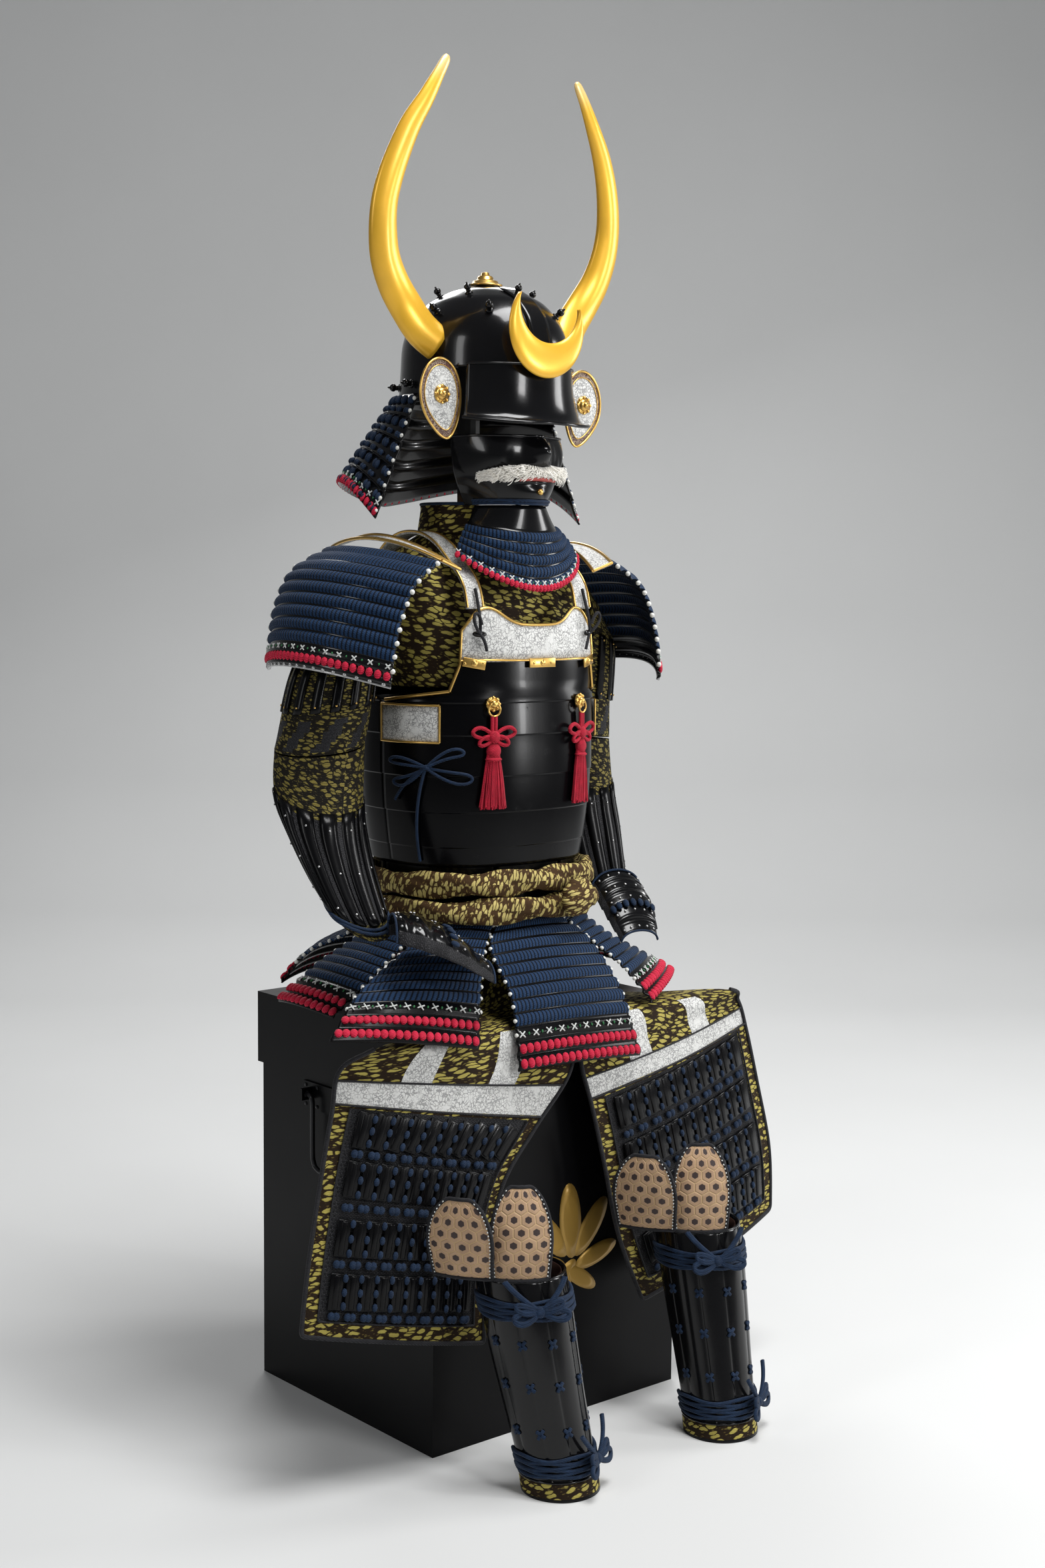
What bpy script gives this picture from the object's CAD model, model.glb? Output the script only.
import math
import random

import bmesh
import bpy
from mathutils import Matrix, Vector


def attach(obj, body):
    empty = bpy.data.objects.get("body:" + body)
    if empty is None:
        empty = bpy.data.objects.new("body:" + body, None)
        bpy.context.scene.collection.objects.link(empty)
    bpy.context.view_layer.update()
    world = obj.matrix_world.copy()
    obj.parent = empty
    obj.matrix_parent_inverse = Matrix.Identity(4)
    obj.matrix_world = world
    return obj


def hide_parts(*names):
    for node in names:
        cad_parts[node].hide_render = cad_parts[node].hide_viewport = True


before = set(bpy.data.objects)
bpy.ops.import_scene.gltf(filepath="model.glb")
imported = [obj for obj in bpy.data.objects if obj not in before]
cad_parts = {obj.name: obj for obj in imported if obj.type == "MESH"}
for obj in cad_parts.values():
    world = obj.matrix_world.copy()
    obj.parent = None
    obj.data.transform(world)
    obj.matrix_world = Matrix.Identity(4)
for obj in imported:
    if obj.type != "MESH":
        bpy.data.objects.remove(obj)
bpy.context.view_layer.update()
random.seed(7)

# Places and sizes are in millimetres, as on the maker's drawing, and become metres in the mesh.
MM = 0.001
ARMOUR = "armour_on_box"
RIGHT, LEFT = -1, 1
SIDES = ((RIGHT, "right"), (LEFT, "left"))
TURN = 2 * math.pi
LACED_PART = 0.84  # of each row of lacing; the lame shows below it


def mix(a, b, t):
    return a + (b - a) * t


def steps(start, end, count):
    return [mix(start, end, i / count) for i in range(count + 1)]


def bell(x, width):
    return math.exp(-((x / width) ** 2))


def read(table, t):
    """Every column of a table at a place along it, by a smooth curve through its rows."""
    place = min(max(t, 0), 1) * (len(table) - 1)
    i = min(int(place), len(table) - 2)
    f = place - i
    row = [table[min(max(k, 0), len(table) - 1)] for k in range(i - 1, i + 3)]
    return [p1 + 0.5 * f * (p2 - p0 + f * (2 * p0 - 5 * p1 + 4 * p2 - p3 + f * (3 * (p1 - p2) + p3 - p0)))
            for p0, p1, p2, p3 in zip(*row)]


def read_height(table, z):
    """The columns after the height, from a table of rows that run down from the highest."""
    i = 0
    while i < len(table) - 2 and z < table[i + 1][0]:
        i += 1
    f = min(max((table[i][0] - z) / (table[i][0] - table[i + 1][0]), 0), 1)
    return [mix(a, b, f) for a, b in zip(table[i][1:], table[i + 1][1:])]


def rounded(a, b, power, centre_y, angle, z):
    s, c = math.sin(angle), math.cos(angle)
    radius = ((abs(s) / a) ** power + (abs(c) / b) ** power) ** (-1 / power)
    return Vector((radius * s, centre_y - radius * c, z))


# Finishes: shader maths written as expressions on sockets
class Value:
    def __init__(self, finish, socket):
        self.finish = finish
        self.socket = socket

    def maths(self, operation, *others):
        sockets = dict(enumerate((self,) + others))
        return self.finish.node("ShaderNodeMath", {"operation": operation}, sockets)[0]

    def __add__(self, other):
        return self.maths("ADD", other)

    def __radd__(self, other):
        return self.maths("ADD", other)

    def __sub__(self, other):
        return self.maths("SUBTRACT", other)

    def __rsub__(self, other):
        return self.finish.node("ShaderNodeMath", {"operation": "SUBTRACT"}, {0: other, 1: self})[0]

    def __mul__(self, other):
        return self.maths("MULTIPLY", other)

    def __truediv__(self, other):
        return self.maths("DIVIDE", other)

    def sin(self):
        return self.maths("SINE")

    def fract(self):
        return self.maths("FRACT")

    def floor(self):
        return self.maths("FLOOR")

    def abs(self):
        return self.maths("ABSOLUTE")

    def power(self, other):
        return self.maths("POWER", other)

    def least(self, other):
        return self.maths("MINIMUM", other)

    def most(self, other):
        return self.maths("MAXIMUM", other)

    def between(self, low, high):
        """0 below low, 1 above high, and smooth between them."""
        return self.finish.node("ShaderNodeMapRange", {"interpolation_type": "SMOOTHSTEP"},
                                {"Value": self, "From Min": low, "From Max": high})[0]


class Finish:
    def __init__(self, name):
        self.material = bpy.data.materials.new(name)
        self.material.use_nodes = True
        self.tree = self.material.node_tree
        self.shader = self.tree.nodes["Principled BSDF"]

    def node(self, kind, settings, sockets):
        made = self.tree.nodes.new(kind)
        for key, value in settings.items():
            setattr(made, key, value)
        for key, value in sockets.items():
            self.link(made.inputs[key], value)
        return [Value(self, socket) for socket in made.outputs]

    def link(self, socket, value):
        if isinstance(value, Value):
            self.tree.links.new(value.socket, socket)
        elif isinstance(value, (tuple, list)) and socket.type == "RGBA":
            socket.default_value = (*value, 1)
        else:
            socket.default_value = value

    def place(self):
        return self.node("ShaderNodeTexCoord", {}, {})[3]

    def cloth_place(self):
        return self.node("ShaderNodeUVMap", {}, {})[0]

    def parts(self, vector):
        return self.node("ShaderNodeSeparateXYZ", {}, {0: vector})

    def stretched(self, vector, scale):
        return self.node("ShaderNodeVectorMath", {"operation": "MULTIPLY"}, {0: vector, 1: scale})[0]

    def moved(self, vector, other, amount):
        scaled = self.node("ShaderNodeVectorMath", {"operation": "SCALE"}, {0: other, "Scale": amount})[0]
        return self.node("ShaderNodeVectorMath", {"operation": "ADD"}, {0: vector, 1: scaled})[0]

    def noise(self, vector, scale, detail=3, rough=0.55):
        return self.node("ShaderNodeTexNoise", {}, {"Vector": vector, "Scale": scale, "Detail": detail,
                                                    "Roughness": rough})

    def cells(self, vector, scale, feature="F1", random_=1.0):
        return self.node("ShaderNodeTexVoronoi", {"feature": feature},
                         {"Vector": vector, "Scale": scale, "Randomness": random_})

    def blend(self, factor, first, second):
        made = self.tree.nodes.new("ShaderNodeMix")
        made.data_type = "RGBA"
        self.link(made.inputs[0], factor)
        self.link(made.inputs[6], first)
        self.link(made.inputs[7], second)
        return Value(self, made.outputs[2])

    def surface(self, height=None, bump=0.3, depth=0.001, **sockets):
        for name, value in sockets.items():
            self.link(self.shader.inputs[name.replace("_", " ")], value)
        if height is not None:
            sockets = {"Height": height, "Strength": bump, "Distance": depth}
            self.link(self.shader.inputs["Normal"], self.node("ShaderNodeBump", {}, sockets)[0])
        return self.material


def lacquer(name, colour=(0.0035, 0.0035, 0.004), gloss=0.12, coat=0.2, shine=0.25):
    f = Finish(name)
    place = f.place()
    soft = f.noise(place, 9, 4)[0]
    dust = f.noise(place, 55, 6, 0.7)[0].between(0.56, 0.82)
    hide = f.noise(place, 420, 2)[0]
    return f.surface(
        height=hide * 0.3 + soft, bump=0.05, depth=0.002,
        Base_Color=f.blend(dust * 0.25, colour, tuple(c * 2.4 + 0.003 for c in colour)),
        Roughness=soft * 0.14 + dust * 0.1 + gloss, Coat_Weight=coat, Coat_Roughness=0.06,
        Specular_IOR_Level=shine)


def gilt(name, colour, rough=0.3, metal=0.85, pale_from=None):
    f = Finish(name)
    place = f.place()
    soft = f.noise(place, 14, 4)[0]
    fine = f.noise(place, 260, 3)[0]
    shade = f.blend(soft.between(0.35, 0.7) * 0.5, colour, tuple(c * 0.72 for c in colour))
    if pale_from:
        tip = f.parts(place)[2].between(pale_from, pale_from + 0.035)
        shade = f.blend(tip * 0.55, shade, (0.85, 0.68, 0.38))
    return f.surface(height=fine * 0.5 + soft, bump=0.08, depth=0.001, Base_Color=shade,
                     Roughness=soft * 0.16 + fine * 0.06 + rough - 0.1, Metallic=metal,
                     Coat_Weight=0.25, Coat_Roughness=0.2)


def lacing(name, dark, bright):
    """Braided silk laid side by side; the cloth place is in centimetres."""
    ribs = 1.8
    f = Finish(name)
    x, y, _ = f.parts(f.cloth_place())
    rib = (x * ribs).fract() - 0.5
    crown = 1 - (rib.abs() * 2).power(2.4)
    braid = ((x * ribs * TURN + y * 26).sin() * 0.5 + 0.5) * ((x * ribs * TURN - y * 26).sin() * 0.5 + 0.5)
    wear = f.noise(f.place(), 60, 4)[0]
    tone = crown * 0.75 + braid * 0.25 + wear * 0.25
    return f.surface(height=crown + braid * 0.35, bump=0.75, depth=0.0016,
                     Base_Color=f.blend(tone.between(0.3, 1.05), dark, bright),
                     Roughness=0.92 - crown * 0.22, Specular_IOR_Level=0.12, Sheen_Weight=0.06)


def silk(name, dark, bright, twist=420):
    f = Finish(name)
    place = f.place()
    x, y, z = f.parts(place)
    strand = ((z * 1.7 + x + y * 0.8) * twist * 6).sin() * 0.5 + 0.5
    wear = f.noise(place, 140, 4)[0]
    return f.surface(height=strand, bump=0.5, depth=0.0008,
                     Base_Color=f.blend((strand * 0.45 + wear * 0.6).between(0.15, 0.95), dark, bright),
                     Roughness=0.75 - strand * 0.15, Specular_IOR_Level=0.2, Sheen_Weight=0.06)


def brocade(name, ground, leaf, thread, size=1.0):
    """Leaf shapes woven in two golds on a dark ground; the cloth place is in centimetres."""
    f = Finish(name)
    cloth = f.cloth_place()
    x, y, _ = f.parts(cloth)
    slanted = f.node("ShaderNodeCombineXYZ", {}, {0: x + y * 0.7, 1: y - x * 0.25})[0]
    bend = f.noise(cloth, 0.42 / size, 3)[1]
    bent = f.stretched(f.moved(slanted, bend, 1.2 * size), (0.5 / size, 1.6 / size, 1))
    leaves = f.cells(bent, 1.0, "F1", 0.9)[0]
    veins = f.cells(bent, 1.0, "DISTANCE_TO_EDGE", 0.9)[0]
    sprig = f.cells(bent, 2.1, "F1", 1.0)[0]
    body = (1 - leaves.between(0.38, 0.5)) * veins.between(0.05, 0.11)
    spray = (1 - sprig.between(0.16, 0.3)) * (1 - body)
    weft = (y * 34).sin() * 0.5 + 0.5
    warp = (x * 30).sin() * 0.5 + 0.5
    wear = f.noise(f.place(), 30, 4)[0]
    shade = f.blend(body, ground, leaf)
    shade = f.blend(spray * 0.85, shade, thread)
    shade = f.blend(weft * 0.3 + (1 - wear) * 0.25, shade, tuple(c * 0.35 for c in ground))
    return f.surface(height=body + spray * 0.7 + weft * 0.35 + warp * 0.15, bump=0.55, depth=0.0009,
                     Base_Color=shade, Roughness=0.85 - body * 0.3 - spray * 0.2,
                     Metallic=body * 0.18, Specular_IOR_Level=0.2)


def printed_leather(name, pale, ink, size=1.0):
    """White leather printed with small scrolls and dots."""
    f = Finish(name)
    place = f.place()
    bent = f.moved(place, f.noise(place, 80 / size, 2)[1], 0.016 * size)
    scroll = f.cells(bent, 210 / size, "DISTANCE_TO_EDGE", 0.7)[0]
    dots = f.cells(place, 260 / size, "F1", 0.4)[0]
    line = 1 - scroll.between(0.05, 0.13)
    dot = 1 - dots.between(0.16, 0.26)
    grain = f.noise(place, 700, 3)[0]
    wear = f.noise(place, 22, 4)[0]
    patch = f.noise(place, 60 / size, 2)[0].between(0.25, 0.5)
    shade = f.blend((line * 0.6).most(dot * 0.7) * patch, pale, ink)
    shade = f.blend(wear.between(0.45, 0.8) * 0.3, shade, tuple(c * 0.7 for c in pale))
    return f.surface(height=grain * 0.6 - line * 0.5, bump=0.25, depth=0.0006, Base_Color=shade,
                     Roughness=wear * 0.2 + 0.5)


def hexed_leather(name):
    """Tan leather quilted in hexagons, each with a dark stitched centre."""
    f = Finish(name)
    x, y, _ = f.parts(f.cloth_place())
    spans = []
    for shift in (0.0, 0.5):
        across = ((x / 1.75 + shift).fract() - 0.5).abs()
        down = ((y / 3.03 + shift).fract() - 0.5).abs() * 1.732
        spans.append(across.most(across * 0.5 + down * 0.866))
    centre = spans[0].least(spans[1])
    dot = 1 - centre.between(0.2, 0.25)
    puff = 1 - centre.between(0.42, 0.5)
    grain = f.noise(f.place(), 500, 3)[0]
    wear = f.noise(f.place(), 40, 4)[0]
    shade = f.blend(wear.between(0.3, 0.75), (0.46, 0.3, 0.18), (0.34, 0.215, 0.125))
    shade = f.blend(dot, shade, (0.035, 0.02, 0.018))
    shade = f.blend((1 - puff) * 0.6, shade, (0.62, 0.42, 0.2))
    return f.surface(height=puff + grain * 0.12 - dot * 0.5, bump=0.6, depth=0.0018, Base_Color=shade,
                     Roughness=0.55 + grain * 0.15)


def mail(name):
    """Rows of small black iron rings."""
    f = Finish(name)
    x, y, _ = f.parts(f.cloth_place())
    row = (y * 2.2).floor()
    across = (x * 1.9 + (row * 0.5).fract()).fract() - 0.5
    down = (y * 2.2).fract() - 0.5
    radius = (across.abs().power(2) + down.abs().power(2)).power(0.5)
    ring = 1 - ((radius - 0.36).abs() * 9).least(1)
    wear = f.noise(f.place(), 120, 3)[0]
    return f.surface(height=ring, bump=0.9, depth=0.002,
                     Base_Color=f.blend(ring * wear, (0.005, 0.005, 0.007), (0.1, 0.1, 0.11)),
                     Roughness=0.75 - ring * 0.4, Metallic=ring * 0.9)


def fur_finish(name):
    f = Finish(name)
    tint = f.noise(f.place(), 130, 3)[0]
    return f.surface(Base_Color=f.blend(tint, (0.9, 0.86, 0.76), (1, 0.98, 0.94)),
                     Roughness=tint * 0.2 + 0.65, Sheen_Weight=0.5)


def wood(name):
    """Plain wood, stained black from the head block's foot up."""
    f = Finish(name)
    place = f.place()
    grain = f.noise(f.stretched(place, (34, 34, 3)), 2, 5)[0]
    plain = f.blend(grain.between(0.3, 0.7), (0.17, 0.09, 0.04), (0.3, 0.18, 0.09))
    stained = f.parts(place)[2].between(1.215, 1.225)
    return f.surface(height=grain, bump=0.2, depth=0.001, Roughness=0.55 + grain * 0.2,
                     Base_Color=f.blend(stained, plain, (0.006, 0.006, 0.006)))


def floor_finish(name, near, far):
    f = Finish(name)
    place = f.place()
    cloud = f.noise(place, 1.1, 3)[0]
    return f.surface(Base_Color=f.blend(cloud, near, far), Roughness=0.78)


BLACK = lacquer("black_lacquer")
SATIN = lacquer("satin_lacquer", (0.0015, 0.0015, 0.002), 0.16, 0.03, 0.13)
BOX_BLACK = lacquer("box_lacquer", (0.0025, 0.0025, 0.003), 0.26, 0.0, 0.12)
DARK_SPLINT = lacquer("splint_lacquer", (0.002, 0.002, 0.0025), 0.2, 0.05, 0.15)
HORN_GOLD = gilt("horn_gold", (0.9, 0.5, 0.035), 0.34, 0.35, 1.722)
GOLD = gilt("fitting_gold", (0.72, 0.45, 0.12), 0.3, 0.95)
SILVER = gilt("hem_silver", (0.5, 0.5, 0.5), 0.34, 0.9)
IRON = gilt("handle_iron", (0.02, 0.02, 0.022), 0.4, 0.8)
ORNAMENT = gilt("box_gold", (0.42, 0.25, 0.045), 0.42, 0.55)
NAVY = lacing("navy_lacing", (0.001, 0.003, 0.008), (0.012, 0.037, 0.094))
NAVY_CORD = silk("navy_cord", (0.002, 0.006, 0.016), (0.012, 0.036, 0.09))
RED = silk("red_silk", (0.17, 0.002, 0.008), (0.62, 0.012, 0.045))
HEM_RED = silk("hem_red", (0.3, 0.003, 0.014), (0.75, 0.02, 0.075), 300)
WHITE_CORD = silk("white_cord", (0.42, 0.44, 0.42), (0.82, 0.84, 0.82), 300)
GREEN_CORD = silk("green_cord", (0.02, 0.1, 0.035), (0.05, 0.25, 0.09), 300)
WHITE_BEAD = gilt("edge_knot_white", (0.7, 0.7, 0.66), 0.5, 0.1)
BLACK_CORD = silk("black_cord", (0.004, 0.004, 0.005), (0.03, 0.03, 0.035))
BROCADE = brocade("brocade", (0.022, 0.012, 0.005), (0.56, 0.47, 0.11), (0.17, 0.12, 0.025), 1.0)
SASH_CLOTH = brocade("sash_brocade", (0.06, 0.03, 0.01), (0.66, 0.54, 0.19), (0.34, 0.23, 0.06), 0.9)
DARK_BROCADE = brocade("sleeve_brocade", (0.01, 0.008, 0.005), (0.26, 0.21, 0.05), (0.1, 0.08, 0.025), 0.6)
PRINTED = printed_leather("printed_leather", (0.66, 0.66, 0.64), (0.045, 0.045, 0.05))
BORDER = printed_leather("border_leather", (0.07, 0.02, 0.018), (0.5, 0.42, 0.3), 0.8)
TAN = hexed_leather("hexed_leather")
MAIL = mail("mail")
FUR = fur_finish("white_fur")
LIP = lacquer("mask_red", (0.5, 0.09, 0.075), 0.35, 0.3)
WOOD = wood("stand_wood")
BROWN_HIDE = lacquer("brown_hide", (0.035, 0.016, 0.011), 0.5, 0.0)

SLOTS = {finish: slot for slot, finishes in {
    "black_lacquer": (BLACK, SATIN, BOX_BLACK, DARK_SPLINT, LIP),
    "black_iron": (IRON, MAIL),
    "gold": (HORN_GOLD, GOLD, SILVER, ORNAMENT),
    "white_leather": (PRINTED, BORDER),
    "tan_leather": (TAN, BROWN_HIDE),
    "red_silk": (RED, HEM_RED),
    "white_fur": (FUR,),
    "pale_wood": (WOOD,),
    "brocade": (BROCADE, SASH_CLOTH, DARK_BROCADE),
    "navy_lacing": (NAVY, NAVY_CORD, WHITE_CORD, GREEN_CORD, WHITE_BEAD, BLACK_CORD),
}.items() for finish in finishes}


# Making pieces
def settle(piece, *nodes, body=ARMOUR):
    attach(piece, body)
    if nodes:
        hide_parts(*nodes)
    return piece


def make(name, bm, finishes, nodes=(), body=ARMOUR):
    mesh = bpy.data.meshes.new(name)
    for face in bm.faces:
        face.smooth = True
    bm.to_mesh(mesh)
    bm.free()
    for finish in finishes:
        mesh.materials.append(finish)
    piece = bpy.data.objects.new(name, mesh)
    bpy.context.scene.collection.objects.link(piece)
    return settle(piece, *nodes, body=body)


def shell(piece, thick):
    wall = piece.modifiers.new("wall", "SOLIDIFY")
    wall.thickness = thick * MM
    wall.offset = -1
    return piece


def soften(piece, width, segments=2):
    edge = piece.modifiers.new("edges", "BEVEL")
    edge.width = width * MM
    edge.segments = segments
    edge.limit_method = "ANGLE"
    return piece


class Surface:
    """A surface of the armour: at(u, v) runs down with u and across with v, and away points out of it."""

    def __init__(self, at, away, step_u=1e-3, step_v=1e-3):
        self.at = at
        self.away = away
        self.step_u = step_u
        self.step_v = step_v

    def axes(self, u, v):
        down = self.at(u + self.step_u, v) - self.at(u - self.step_u, v)
        across = self.at(u, v + self.step_v) - self.at(u, v - self.step_v)
        normal = down.cross(across).normalized()
        if normal.dot(self.away(self.at(u, v))) < 0:
            normal = -normal
        return across.normalized(), down.normalized(), normal

    def out(self, u, v, distance):
        return self.at(u, v) + self.axes(u, v)[2] * distance

    def seat(self, u, v, distance=0.0, sizes=(1, 1, 1), turn=0.0):
        """A matrix that stands a shape of these sizes, in millimetres, on the surface."""
        _, down, normal = self.axes(u, v)
        side = normal.cross(down).normalized()
        upright = Matrix((side, normal.cross(side), normal)).transposed().to_4x4()
        place = Matrix.Translation(self.out(u, v, distance) * MM)
        return (place @ upright @ Matrix.Rotation(turn, 4, "Z")
                @ Matrix.Diagonal((*(s * MM for s in sizes), 1)))


def face_out(bm, away):
    """Turns the faces so that most of their area looks the way away(point) points."""
    bm.normal_update()
    facing = sum(face.normal.dot(away(face.calc_center_median() / MM)) * face.calc_area()
                 for face in bm.faces)
    if facing < 0:
        bmesh.ops.reverse_faces(bm, faces=bm.faces)


cuts = {}  # of each sheet: its area, width and length before it is bent, in metres


def sheet(name, surface, us, vs, finishes, thick=2.0, relief=None, zone=None, wrap=False, nodes=(),
          drop=None):
    """A wall laid on a surface: a grid bent to it, raised by relief(u, v), with its thickness behind.
    zone(u, v) numbers each face's finish. Without a thickness the open ends are closed.
    drop(x, y, z), in millimetres, says which faces are cut away."""
    bm = bmesh.new()
    rows, columns = len(us) - 1, len(vs) - 1
    layer = bm.loops.layers.uv.new("UVMap")
    bmesh.ops.create_grid(bm, x_segments=columns, y_segments=rows, size=0.5)
    middle_u, middle_v = us[len(us) // 2], vs[len(vs) // 2]
    wide = [surface.at(middle_u, v) for v in vs]
    tall = [surface.at(u, middle_v) for u in us]
    run_x, run_y = [0.0], [0.0]
    for run, points in ((run_x, wide), (run_y, tall)):
        for a, b in zip(points, points[1:]):
            run.append(run[-1] + (b - a).length / 10)
    places = {}
    for vert in bm.verts:
        column = round((vert.co.x + 0.5) * columns)
        row = rows - round((vert.co.y + 0.5) * rows)
        places[vert] = (row, column)
    for face in bm.faces:
        row = min(places[v][0] for v in face.verts)
        column = min(places[v][1] for v in face.verts)
        if zone:
            face.material_index = zone((us[row] + us[row + 1]) / 2, (vs[column] + vs[column + 1]) / 2)
        for loop in face.loops:
            r, c = places[loop.vert]
            loop[layer].uv = (run_x[c], run_y[r])
    for vert, (row, column) in places.items():
        u, v = us[row], vs[column]
        vert.co = surface.out(u, v, relief(u, v) if relief else 0) * MM
    if wrap:
        bmesh.ops.remove_doubles(bm, verts=bm.verts, dist=2e-6)
    if drop:
        gone = [face for face in bm.faces if drop(*(face.calc_center_median() / MM))]
        bmesh.ops.delete(bm, geom=gone, context="FACES")
    face_out(bm, surface.away)
    if not thick:
        bmesh.ops.holes_fill(bm, edges=[edge for edge in bm.edges if edge.is_boundary], sides=0)
    area = sum(face.calc_area() for face in bm.faces)
    cuts[name] = (area, max(run_x) / 100, max(run_y) / 100)
    piece = make(name, bm, finishes, nodes)
    return shell(piece, thick) if thick else piece


def cut_cloth(piece):
    area, width, length = cuts[piece.name]
    spare = max(1.0, area / (width * length)) * 1.001
    width * spare
    max(area, 0.31 * width * spare * length)


def bead(bm, seat, facets=8):
    bmesh.ops.create_uvsphere(bm, u_segments=facets, v_segments=5, radius=0.5, matrix=seat)


def slab(bm, seat):
    bmesh.ops.create_cube(bm, size=1, matrix=seat)


def beads(name, seats, finish, facets=8):
    """Rounded knots, studs or rivets, as one piece."""
    bm = bmesh.new()
    for seat in seats:
        bead(bm, seat, facets)
    return make(name, bm, [finish])


def slabs(name, seats, finish, width, segments=2):
    """Small blocks with softened edges, as one piece."""
    bm = bmesh.new()
    for seat in seats:
        slab(bm, seat)
    return soften(make(name, bm, [finish]), width, segments)


def block(centre, sizes):
    """A matrix that stands a block at a place, both in millimetres."""
    return Matrix.Translation(Vector(centre) * MM) @ Matrix.Diagonal((*(s * MM for s in sizes), 1))


def cords(name, routes, radius, finish, closed=False, nodes=(), smooth=6, sides=3, body=ARMOUR):
    """Round cords along smooth routes, as one piece."""
    curve = bpy.data.curves.new(name, "CURVE")
    curve.dimensions = "3D"
    curve.fill_mode = "FULL"
    curve.bevel_depth = radius * MM
    curve.bevel_resolution = sides - 1
    curve.resolution_u = smooth
    curve.use_fill_caps = True
    for route in routes:
        spline = curve.splines.new("NURBS")
        spline.points.add(len(route) - 1)
        for place, p in zip(spline.points, route):
            place.co = (p[0] * MM, p[1] * MM, p[2] * MM, 1)
        spline.order_u = 4 if len(route) > 3 else len(route)
        spline.use_endpoint_u = not closed
        spline.use_cyclic_u = closed
    draft = bpy.data.objects.new(name + "_route", curve)
    mesh = bpy.data.meshes.new_from_object(draft)
    bpy.data.objects.remove(draft)
    mesh.name = name
    mesh.materials.clear()
    mesh.materials.append(finish)
    for polygon in mesh.polygons:
        polygon.use_smooth = True
    piece = bpy.data.objects.new(name, mesh)
    bpy.context.scene.collection.objects.link(piece)
    return settle(piece, *nodes, body=body)


def edge_route(surface, u_places, v_places, out):
    """A route over a surface; a list with one place in it stays at that place all along."""
    count = max(len(u_places), len(v_places))
    us = u_places if len(u_places) > 1 else u_places * count
    vs = v_places if len(v_places) > 1 else v_places * count
    return [surface.out(u, v, out) for u, v in zip(us, vs)]


# Camera at the photograph's place, in metres
eye = bpy.data.cameras.new("photo_camera")
eye.lens = 48.44
eye.sensor_width = 36
eye.sensor_fit = "AUTO"
camera = bpy.data.objects.new("photo_camera", eye)
camera.location = (-1.79995, -2.21911, 1.10894)
azimuth, pitch, roll = math.radians(-40.4515), math.radians(5.5652), math.radians(0.51518)
view_way = Vector((-math.sin(azimuth) * math.cos(pitch), math.cos(azimuth) * math.cos(pitch),
                   -math.sin(pitch)))
camera.rotation_euler = (view_way.to_track_quat("-Z", "Y").to_matrix().to_4x4()
                         @ Matrix.Rotation(roll, 4, "Z")).to_euler()
bpy.context.scene.collection.objects.link(camera)
bpy.context.scene.camera = camera
bpy.context.scene.view_settings.view_transform = "Standard"


# Studio: a sweep of paper and soft lights
def lamp(name, place, aim, size, power):
    light = bpy.data.lights.new(name, "AREA")
    light.shape = "RECTANGLE"
    light.size, light.size_y = size
    light.energy = power
    holder = bpy.data.objects.new(name, light)
    holder.location = place
    holder.rotation_euler = (Vector(aim) - Vector(place)).to_track_quat("-Z", "Y").to_euler()
    bpy.context.scene.collection.objects.link(holder)


def studio():
    bm = bmesh.new()
    turned = Matrix.Rotation(azimuth, 4, "Z")
    profile = [(-9, -7, 0), (-9, 2.6, 0), (-9, 3.4, 0.1), (-9, 4.0, 0.45), (-9, 4.35, 1.0), (-9, 4.5, 1.8),
               (-9, 4.5, 7)]
    chain = [bm.verts.new(turned @ Vector(p)) for p in profile]
    edges = [bm.edges.new(pair) for pair in zip(chain, chain[1:])]
    grown = bmesh.ops.extrude_edge_only(bm, edges=edges)
    bmesh.ops.translate(bm, verts=[g for g in grown["geom"] if isinstance(g, bmesh.types.BMVert)],
                        vec=turned @ Vector((18, 0, 0)))
    bmesh.ops.recalc_face_normals(bm, faces=bm.faces)
    mesh = bpy.data.meshes.new("studio_sweep")
    for face in bm.faces:
        face.smooth = True
    bm.to_mesh(mesh)
    bm.free()
    mesh.materials.append(floor_finish("studio_paper", (0.66, 0.665, 0.66), (0.72, 0.725, 0.72)))
    sweep = bpy.data.objects.new("studio_sweep", mesh)
    bpy.context.scene.collection.objects.link(sweep)
    lamp("top_light", (0.2, -1.0, 3.7), (0.1, -0.1, 0.6), (1.3, 1.3), 96)
    lamp("front_light", (0.3, -3.4, 2.3), (0, 0, 1.0), (0.6, 0.9), 34)
    lamp("left_light", (-3.4, -0.2, 2.2), (0, 0, 1.0), (0.6, 1.8), 20)
    lamp("right_light", (3.0, -1.4, 1.7), (0.1, 0, 0.4), (0.8, 1.6), 46)
    lamp("chest_light", (1.63, -2.66, 1.02), (0, 0, 0.9), (0.2, 0.28), 17)
    lamp("back_light", (1.6, 2.7, 3.0), (0.5, 0, 0.6), (1.8, 1.2), 46)
    world = bpy.data.worlds.new("studio_air")
    world.use_nodes = True
    world.node_tree.nodes["Background"].inputs[0].default_value = (0.8, 0.82, 0.86, 1)
    world.node_tree.nodes["Background"].inputs[1].default_value = 0.14
    bpy.context.scene.world = world


studio()


# Helmet
BOWL_A, BOWL_B, BOWL_Y, RIM_Z, APEX_Z = 105, 117, -23, 1384, 1492
DOME = [(0, 1), (0.3, 0.975), (0.56, 0.88), (0.78, 0.69), (0.93, 0.42), (1, 0.13)]


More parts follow.
